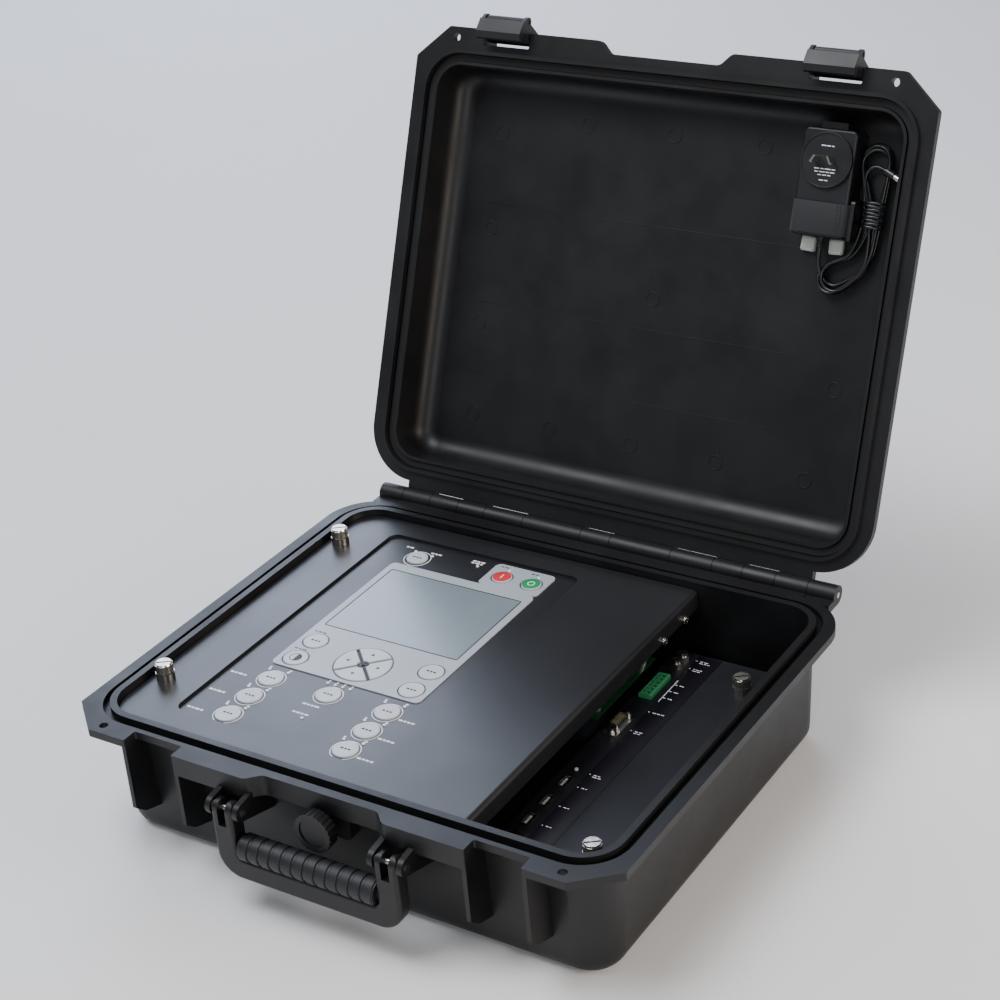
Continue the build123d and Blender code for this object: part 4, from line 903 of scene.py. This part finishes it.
@dataclass
class LidInterior:
    """Mould marks of the lid and the details of the strapped adapter."""

    roof: float = 145.0
    adapter_x: float = 146.0
    adapter_back: float = -63.0
    adapter_face: float = 123.0
    plug_face_y: float = -123.0
    strap_y: float = -78.0
    strap_width: float = 25.0
    strap_thick: float = 1.3
    strap_half: float = 23.6  # from the adapter's middle to the strap's middle at its side
    mark_radius: float = 6.5

    def ejector_marks(self) -> None:
        """Faint rings that the mould's ejector pins leave on the roof."""
        spots = [(x, 132.0, 0.0) for x in (-160.0, -82.0, -2.0, 78.0, 158.0)]
        spots += [(-165.0, y, 0.0) for y in (-112.0, -30.0, 52.0)]
        spots += [(172.0, y, 0.0) for y in (-26.0, 56.0)]
        spots += [(x, -128.0, 0.0) for x in (-82.0, 0.0, 82.0)]
        spots += [(0.0, 8.0, 0.0)]
        ring = band("ring", self.mark_radius, 1.0, 0.5, 36)
        round_off(ring, 0.18, 2)
        marks = repeat(ring, "ejector_marks", spots, self.roof - 0.45)
        dress(settle(marks, lid_turn()), CASE, "lid")

    def flow_lines(self) -> None:
        """Fine straight witness lines across the roof."""
        line = block("line", 300.0, 0.8, 0.2)
        round_off(line, 0.08, 2)
        spots: Spots = [(-20.0, y, 0.0) for y in (-52.0, 34.0, 96.0)]
        lines = repeat(line, "witness_lines", spots, self.roof - 0.15)
        dress(settle(lines, lid_turn()), CASE, "lid")

    def plug_face(self) -> None:
        """Raised rim and plain strokes on the adapter's round face."""
        face = self.adapter_face - 2.2
        edge = band("plug_rim", 21.9, 1.3, 0.9, 64)
        round_off(edge, 0.3, 3)
        settle(edge, shift(self.adapter_x, self.plug_face_y, face - 0.8))
        dress(settle(edge, lid_turn()), ABS, "lid")
        gap = 0.8
        lines = (
            (11.0, (4.0, 3.0, 2.4)),
            (-7.0, (4.2, 3.0, 5.0, 3.2)),
            (-9.4, (3.4, 4.6, 2.6, 4.0)),
            (-11.8, (3.0, 3.6, 2.8)),
            (-15.8, (3.8, 2.8)),
        )
        rows = [
            (self.adapter_x - (sum(lengths) + gap * (len(lengths) - 1)) / 2, self.plug_face_y - dy, lengths)
            for dy, lengths in lines
        ]
        marks = print_strokes("plug_strokes", in_rows(rows, gap), 0.8, 0.06, face - 0.06)
        dress(settle(marks, lid_turn()), INK_WHITE, "lid")

    def strap(self) -> None:
        """Woven strap over the adapter, one flat ribbon with turned hems."""
        half = self.strap_half
        low = self.adapter_face - 0.4
        high = self.roof - 0.9
        side = [
            (half + 2.2, high),
            (half + 0.3, high - 3.0),
            (half, low + 3.2),
            (half - 1.0, low + 0.9),
            (half - 3.4, low - 0.1),
            (half * 0.4, low - 0.35),
        ]
        route = [(-half - 6.6, high), *((-x, z) for x, z in side), *reversed(side), (half + 5.8, high)]
        curve = bpy.data.curves.new("strap_path", "CURVE")
        curve.dimensions = "2D"
        curve.fill_mode = "NONE"
        curve.extrude = self.strap_width * MM / 2
        line = curve.splines.new("POLY")
        line.points.add(len(route) - 1)
        for point, (x, z) in zip(line.points, route):
            point.co = (x * MM, z * MM, 0.0, 1.0)
        strap = bpy.data.objects.new("strap_band", curve)
        link(strap)
        hold(strap)
        bpy.ops.object.convert(target="MESH")
        strap = bpy.context.view_layer.objects.active
        thick = strap.modifiers.new("thick", "SOLIDIFY")
        thick.thickness = self.strap_thick * MM
        thick.offset = 0.0
        bpy.ops.object.modifier_apply(modifier=thick.name)
        round_off(strap, 0.35, 2, 60.0)
        upright = Matrix.Rotation(radians(90.0), 4, "X")
        settle(strap, lid_turn() @ shift(self.adapter_x, self.strap_y, 0.0) @ upright)
        with picked(strap, lambda face: True):
            bpy.ops.mesh.normals_make_consistent(inside=False)
        dress(strap, WEBBING, "lid", 50.0)
        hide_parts("adapter_strap")
        stitch = block("stitch", 0.5, 1.9, 0.5)
        round_off(stitch, 0.15, 2)
        along = [self.strap_y + 3.0 * (n - 3.5) for n in range(8)]
        spots = [(self.adapter_x + x, y, 0.0) for y in along for x in (15.2, 18.0)]
        seam = repeat(stitch, "strap_stitches", spots, low - 1.25)
        dress(settle(seam, lid_turn()), DARK_INK_AND_SHADE, "lid")

    def pads(self) -> None:
        """Two pale self-adhesive pads behind the adapter's end."""
        pad = block("pad", 12.0, 12.0, 5.8)
        round_off(pad, 1.2, 3)
        inset(pad, lambda face: face.normal.z < -0.9, 2.0, -0.15)
        y = self.adapter_back + 6.5
        spots = [(self.adapter_x - 13.0, y, 2.0), (self.adapter_x + 11.0, y, -3.0)]
        pads = repeat(pad, "adhesive_pads", spots, self.roof - 5.8)
        dress(settle(pads, lid_turn()), PAD, "lid")
        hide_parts("foam_pads")

    def build(self) -> None:
        """Builds all of the lid's pieces."""
        self.ejector_marks()
        self.flow_lines()
        self.plug_face()
        self.strap()
        self.pads()


# ---- lead


@dataclass(frozen=True)
class Loop:
    """One loop of the hank, in millimetres. Offsets are from the hank's middle line."""

    out: float  # offset in the tied middle on the way to the plug's end
    back: float  # offset there on the way back
    level_out: float
    level_back: float
    stagger_far: float  # how far its fold stands past the end of the middle line
    stagger_near: float
    wide: float = 11.2  # half width at its folds


@dataclass
class Lead:
    """The adapter's thin low-voltage lead: a short free stretch, a hank and its plug."""

    diameter: float = 3.0
    length: float = 1.29  # metres
    roof: float = 145.0
    exit: Point = (146.0, -55.0, 134.0)
    spine: tuple[tuple[float, float], ...] = (
        (180.5, -132.0), (184.5, -98.0), (184.5, -72.0), (179.5, -44.0), (155.0, -30.0),
    )
    loops: tuple[Loop, ...] = (
        Loop(-6.6, 5.6, 140.2, 143.3, -3.5, -2.5),
        Loop(-3.4, 2.6, 143.3, 141.0, -6.0, -4.5),
        Loop(-1.0, 6.2, 140.6, 137.6, -7.5, -6.5),
        Loop(-5.2, -0.6, 137.1, 139.0, -4.5, -3.0),
    )
    fold_points: int = 5
    last_level: float = 137.1
    tie_y: float = -85.0
    plug_start: Point = (190.5, -120.0, 138.5)
    plug_aim: Point = (205.0, -113.5, 136.0)

    def along(self, share: float) -> tuple[Vector, Vector]:
        """Finds a place on the hank's middle line.

        Args:
            share: 0 at the far end by the plug, 1 at the end by the adapter's outlet.

        Returns:
            The place and the direction of the line there.
        """
        points = [Vector(p) for p in self.spine]
        runs = [(b - a).length for a, b in zip(points, points[1:])]
        reach = share * sum(runs)
        for (a, b), run in zip(zip(points, points[1:]), runs):
            if reach <= run + 1e-6:
                return a.lerp(b, reach / run), (b - a).normalized()
            reach -= run
        return points[-1], (points[-1] - points[-2]).normalized()

    def way(self, share: float) -> Vector:
        """The softened direction of the middle line."""
        return (self.along(min(1.0, share + 0.06))[0] - self.along(max(0.0, share - 0.06))[0]).normalized()

    def beside(self, share: float, offset: float, level: float) -> Point:
        """A place beside the middle line."""
        spot, way = self.along(share)[0], self.way(share)
        return (spot.x - way.y * offset, spot.y + way.x * offset, level)

    def fold(self, share: float, loop: Loop, levels: tuple[float, float], side: float) -> list[Point]:
        """Control points of a round fold at one end of the hank.

        Args:
            share: 0 for the far end, 1 for the near one.
            loop: The loop that is folded.
            levels: Level before and after the fold.
            side: Side of the middle line on which the fold starts.

        Returns:
            The control points of the fold.
        """
        spot, line = self.along(share)[0], self.way(share)
        way = line * (1.0 if share > 0.5 else -1.0)
        across = Vector((-line.y, line.x)) * side
        count = self.fold_points
        reach = loop.wide / cos(pi / (2 * count))
        stagger = loop.stagger_near if share > 0.5 else loop.stagger_far
        points: list[Point] = []
        for n in range(count):
            turn = pi * (n + 0.5) / count
            place = spot + way * (reach * sin(turn) + stagger) + across * (reach * cos(turn))
            points.append((place.x, place.y, levels[0] + (levels[1] - levels[0]) * (n + 0.5) / count))
        return points

    def route(self) -> list[Point]:
        """The lead's control points from the adapter's outlet to its plug, in the closed lid's place."""
        points: list[Point] = [self.exit, (146.0, -48.0, 134.0), (146.8, -40.0, 136.0), (149.0, -32.0, 138.6)]
        points += [(155.0, -26.5, 140.0), (163.0, -26.0, 140.2)]
        spread = ((0.90, 0.97), (0.72, 0.6), (0.46, 0.0), (0.24, 0.5), (0.10, 0.97))
        following = [loop.level_out for loop in self.loops[1:]] + [self.last_level]
        for n, loop in enumerate(self.loops):
            for share, ease in spread[1 if n == 0 else 0 :]:
                points.append(self.beside(share, loop.out * (1 - ease) - loop.wide * ease, loop.level_out))
            points += self.fold(0.0, loop, (loop.level_out, loop.level_back), -1.0)
            for share, ease in reversed(spread):
                points.append(self.beside(share, loop.back * (1 - ease) + loop.wide * ease, loop.level_back))
            points += self.fold(1.0, loop, (loop.level_back, following[n]), 1.0)
        for share, offset in ((0.90, -10.2), (0.74, -6.0), (0.56, -1.5), (0.42, 2.0)):
            points.append(self.beside(share, offset, self.last_level))
        points += [(178.4, -97.0, 137.3), (174.6, -106.0, 137.6), (173.9, -116.4, 138.2)]
        points += [(177.6, -122.0, 138.7), (183.8, -123.0, 139.2), self.plug_start]
        return points

    def build(self) -> None:
        """Builds the lead, its tie and the ribs of its outlet."""
        curve = bpy.data.curves.new("lead_path", "CURVE")
        curve.dimensions = "3D"
        curve.bevel_depth = self.diameter * MM / 2
        curve.bevel_resolution = 4
        curve.resolution_u = 6
        curve.use_fill_caps = True
        line = curve.splines.new("NURBS")
        route = [lid_turn() @ (Vector(p) * MM) for p in self.route()]
        line.points.add(len(route) - 1)
        for point, place in zip(line.points, route):
            point.co = (*place, 1.0)
        line.order_u = 3
        line.use_endpoint_u = True
        lead = bpy.data.objects.new("power_lead", curve)
        link(lead)
        curve.materials.append(SHEATH.make())
        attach(lead, "lid")
        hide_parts("cord_hank", "cord_lead")

        coil = torus(8.3, 1.3, 40, 10, 0.62)
        spots = [(184.5, self.tie_y + 2.7 * (n - 3.5), 3.0 if n % 2 else -3.0) for n in range(8)]
        tie = repeat(coil, "hank_tie", spots, self.roof - 6.3)
        dress(settle(tie, lid_turn()), SHEATH, "lid", 60.0)

        rib = torus(2.6, 0.7, 28, 8)
        ribs = repeat(rib, "outlet_ribs", [(146.0, -61.2 + 1.8 * n, 0.0) for n in range(4)], 134.0)
        dress(settle(ribs, lid_turn()), SHEATH, "lid", 60.0)

        self.barrel()
        LOG.info("power_lead has %d control points", len(route))

    def barrel(self) -> None:
        """Bright sleeve with a dark ring over the plug's tip."""
        start = Vector(self.plug_start)
        way = (Vector(self.plug_aim) - start).normalized()
        stand = way.to_track_quat("Z", "Y").to_matrix().to_4x4()
        for name, foot, radius, height, look in (
            ("plug_barrel", 8.2, 2.82, 6.72, NICKEL),
            ("plug_collar", 7.2, 3.05, 1.2, DARK_INK_AND_SHADE),
        ):
            sleeve = cylinder(name, radius, height, 36)
            round_off(sleeve, 0.25, 3)
            spot = (start + way * foot) * MM
            settle(sleeve, lid_turn() @ Matrix.Translation(spot) @ stand)
            dress(sleeve, look, "lid")


# ---- studio


@dataclass(frozen=True)
class Light:
    """One square soft light, in metres and watts."""

    name: str
    place: Point
    aim: Point
    size: float
    power: float
    colour: str = "#ffffff"

    def build(self) -> None:
        """Hangs the light."""
        lamp = bpy.data.lights.new(self.name, "AREA")
        lamp.shape = "SQUARE"
        lamp.size = self.size
        lamp.energy = self.power
        lamp.color = linear(self.colour)[:3]
        obj = bpy.data.objects.new(self.name, lamp)
        obj.location = self.place
        obj.rotation_euler = (Vector(self.aim) - Vector(self.place)).to_track_quat("-Z", "Y").to_euler()
        link(obj)


@dataclass
class Studio:
    """Floor, lights and camera."""

    azimuth: float = 34.249
    elevation: float = 27.984
    roll: float = -5.0
    place: Point = (832.5, -1152.2, 998.9)  # millimetres
    lens: float = 78.9

    def floor(self) -> None:
        """A wide plain pale floor."""
        bpy.ops.object.select_all(action="DESELECT")
        bpy.ops.mesh.primitive_plane_add(size=9.0, location=(0, 0, 0))
        floor = bpy.context.object
        floor.name = "studio_floor"
        floor.data.materials.append(FLOOR.make())

    def camera(self) -> None:
        """Sets the camera at the taking angle."""
        turn, rise = radians(self.azimuth), radians(self.elevation)
        back = Vector((sin(turn) * cos(rise), -cos(turn) * cos(rise), sin(rise)))
        right = (-back).cross(Vector((0, 0, 1))).normalized()
        up = right.cross(-back)
        tilt = radians(self.roll)
        across = cos(tilt) * right + sin(tilt) * up
        upright = -sin(tilt) * right + cos(tilt) * up
        pose = Matrix((across, upright, back)).transposed().to_4x4()
        pose.translation = Vector(self.place) * MM
        lens = bpy.data.cameras.new("camera")
        lens.lens = self.lens
        lens.clip_start = 0.05
        obj = bpy.data.objects.new("camera", lens)
        obj.matrix_world = pose
        link(obj)
        bpy.context.scene.camera = obj

    def build(self) -> None:
        """Sets up the studio."""
        self.floor()
        Light("back_left_light", (-2.0, 2.3, 1.7), (-0.1, 0.0, 0.1), 1.9, 70.0, "#d3def5").build()
        Light("top_light", (-0.7, -0.6, 2.6), (0.0, 0.0, 0.1), 1.6, 72.0, "#f6f8fd").build()
        Light("side_light", (2.5, 0.3, 0.8), (0.2, 0.0, 0.05), 1.3, 62.0, "#ffeedd").build()
        Light("front_light", (1.4, -2.6, 1.3), (0.0, -0.1, 0.1), 1.1, 18.0).build()
        world = bpy.data.worlds.new("studio")
        bpy.context.scene.world = world
        world.use_nodes = True
        sky = world.node_tree.nodes["Background"].inputs
        sky["Color"].default_value = linear("#eef2fa")
        sky["Strength"].default_value = 0.3
        self.camera()


def main() -> None:
    """Builds the classes in order and reports each piece."""
    logging.basicConfig(level=logging.INFO, format="%(message)s")
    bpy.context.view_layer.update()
    Studio().build()
    Case().dress()
    OperatorPanel().build()
    ConnectorBay().build()
    LidInterior().build()
    Lead().build()


if __name__ == "__main__":
    main()
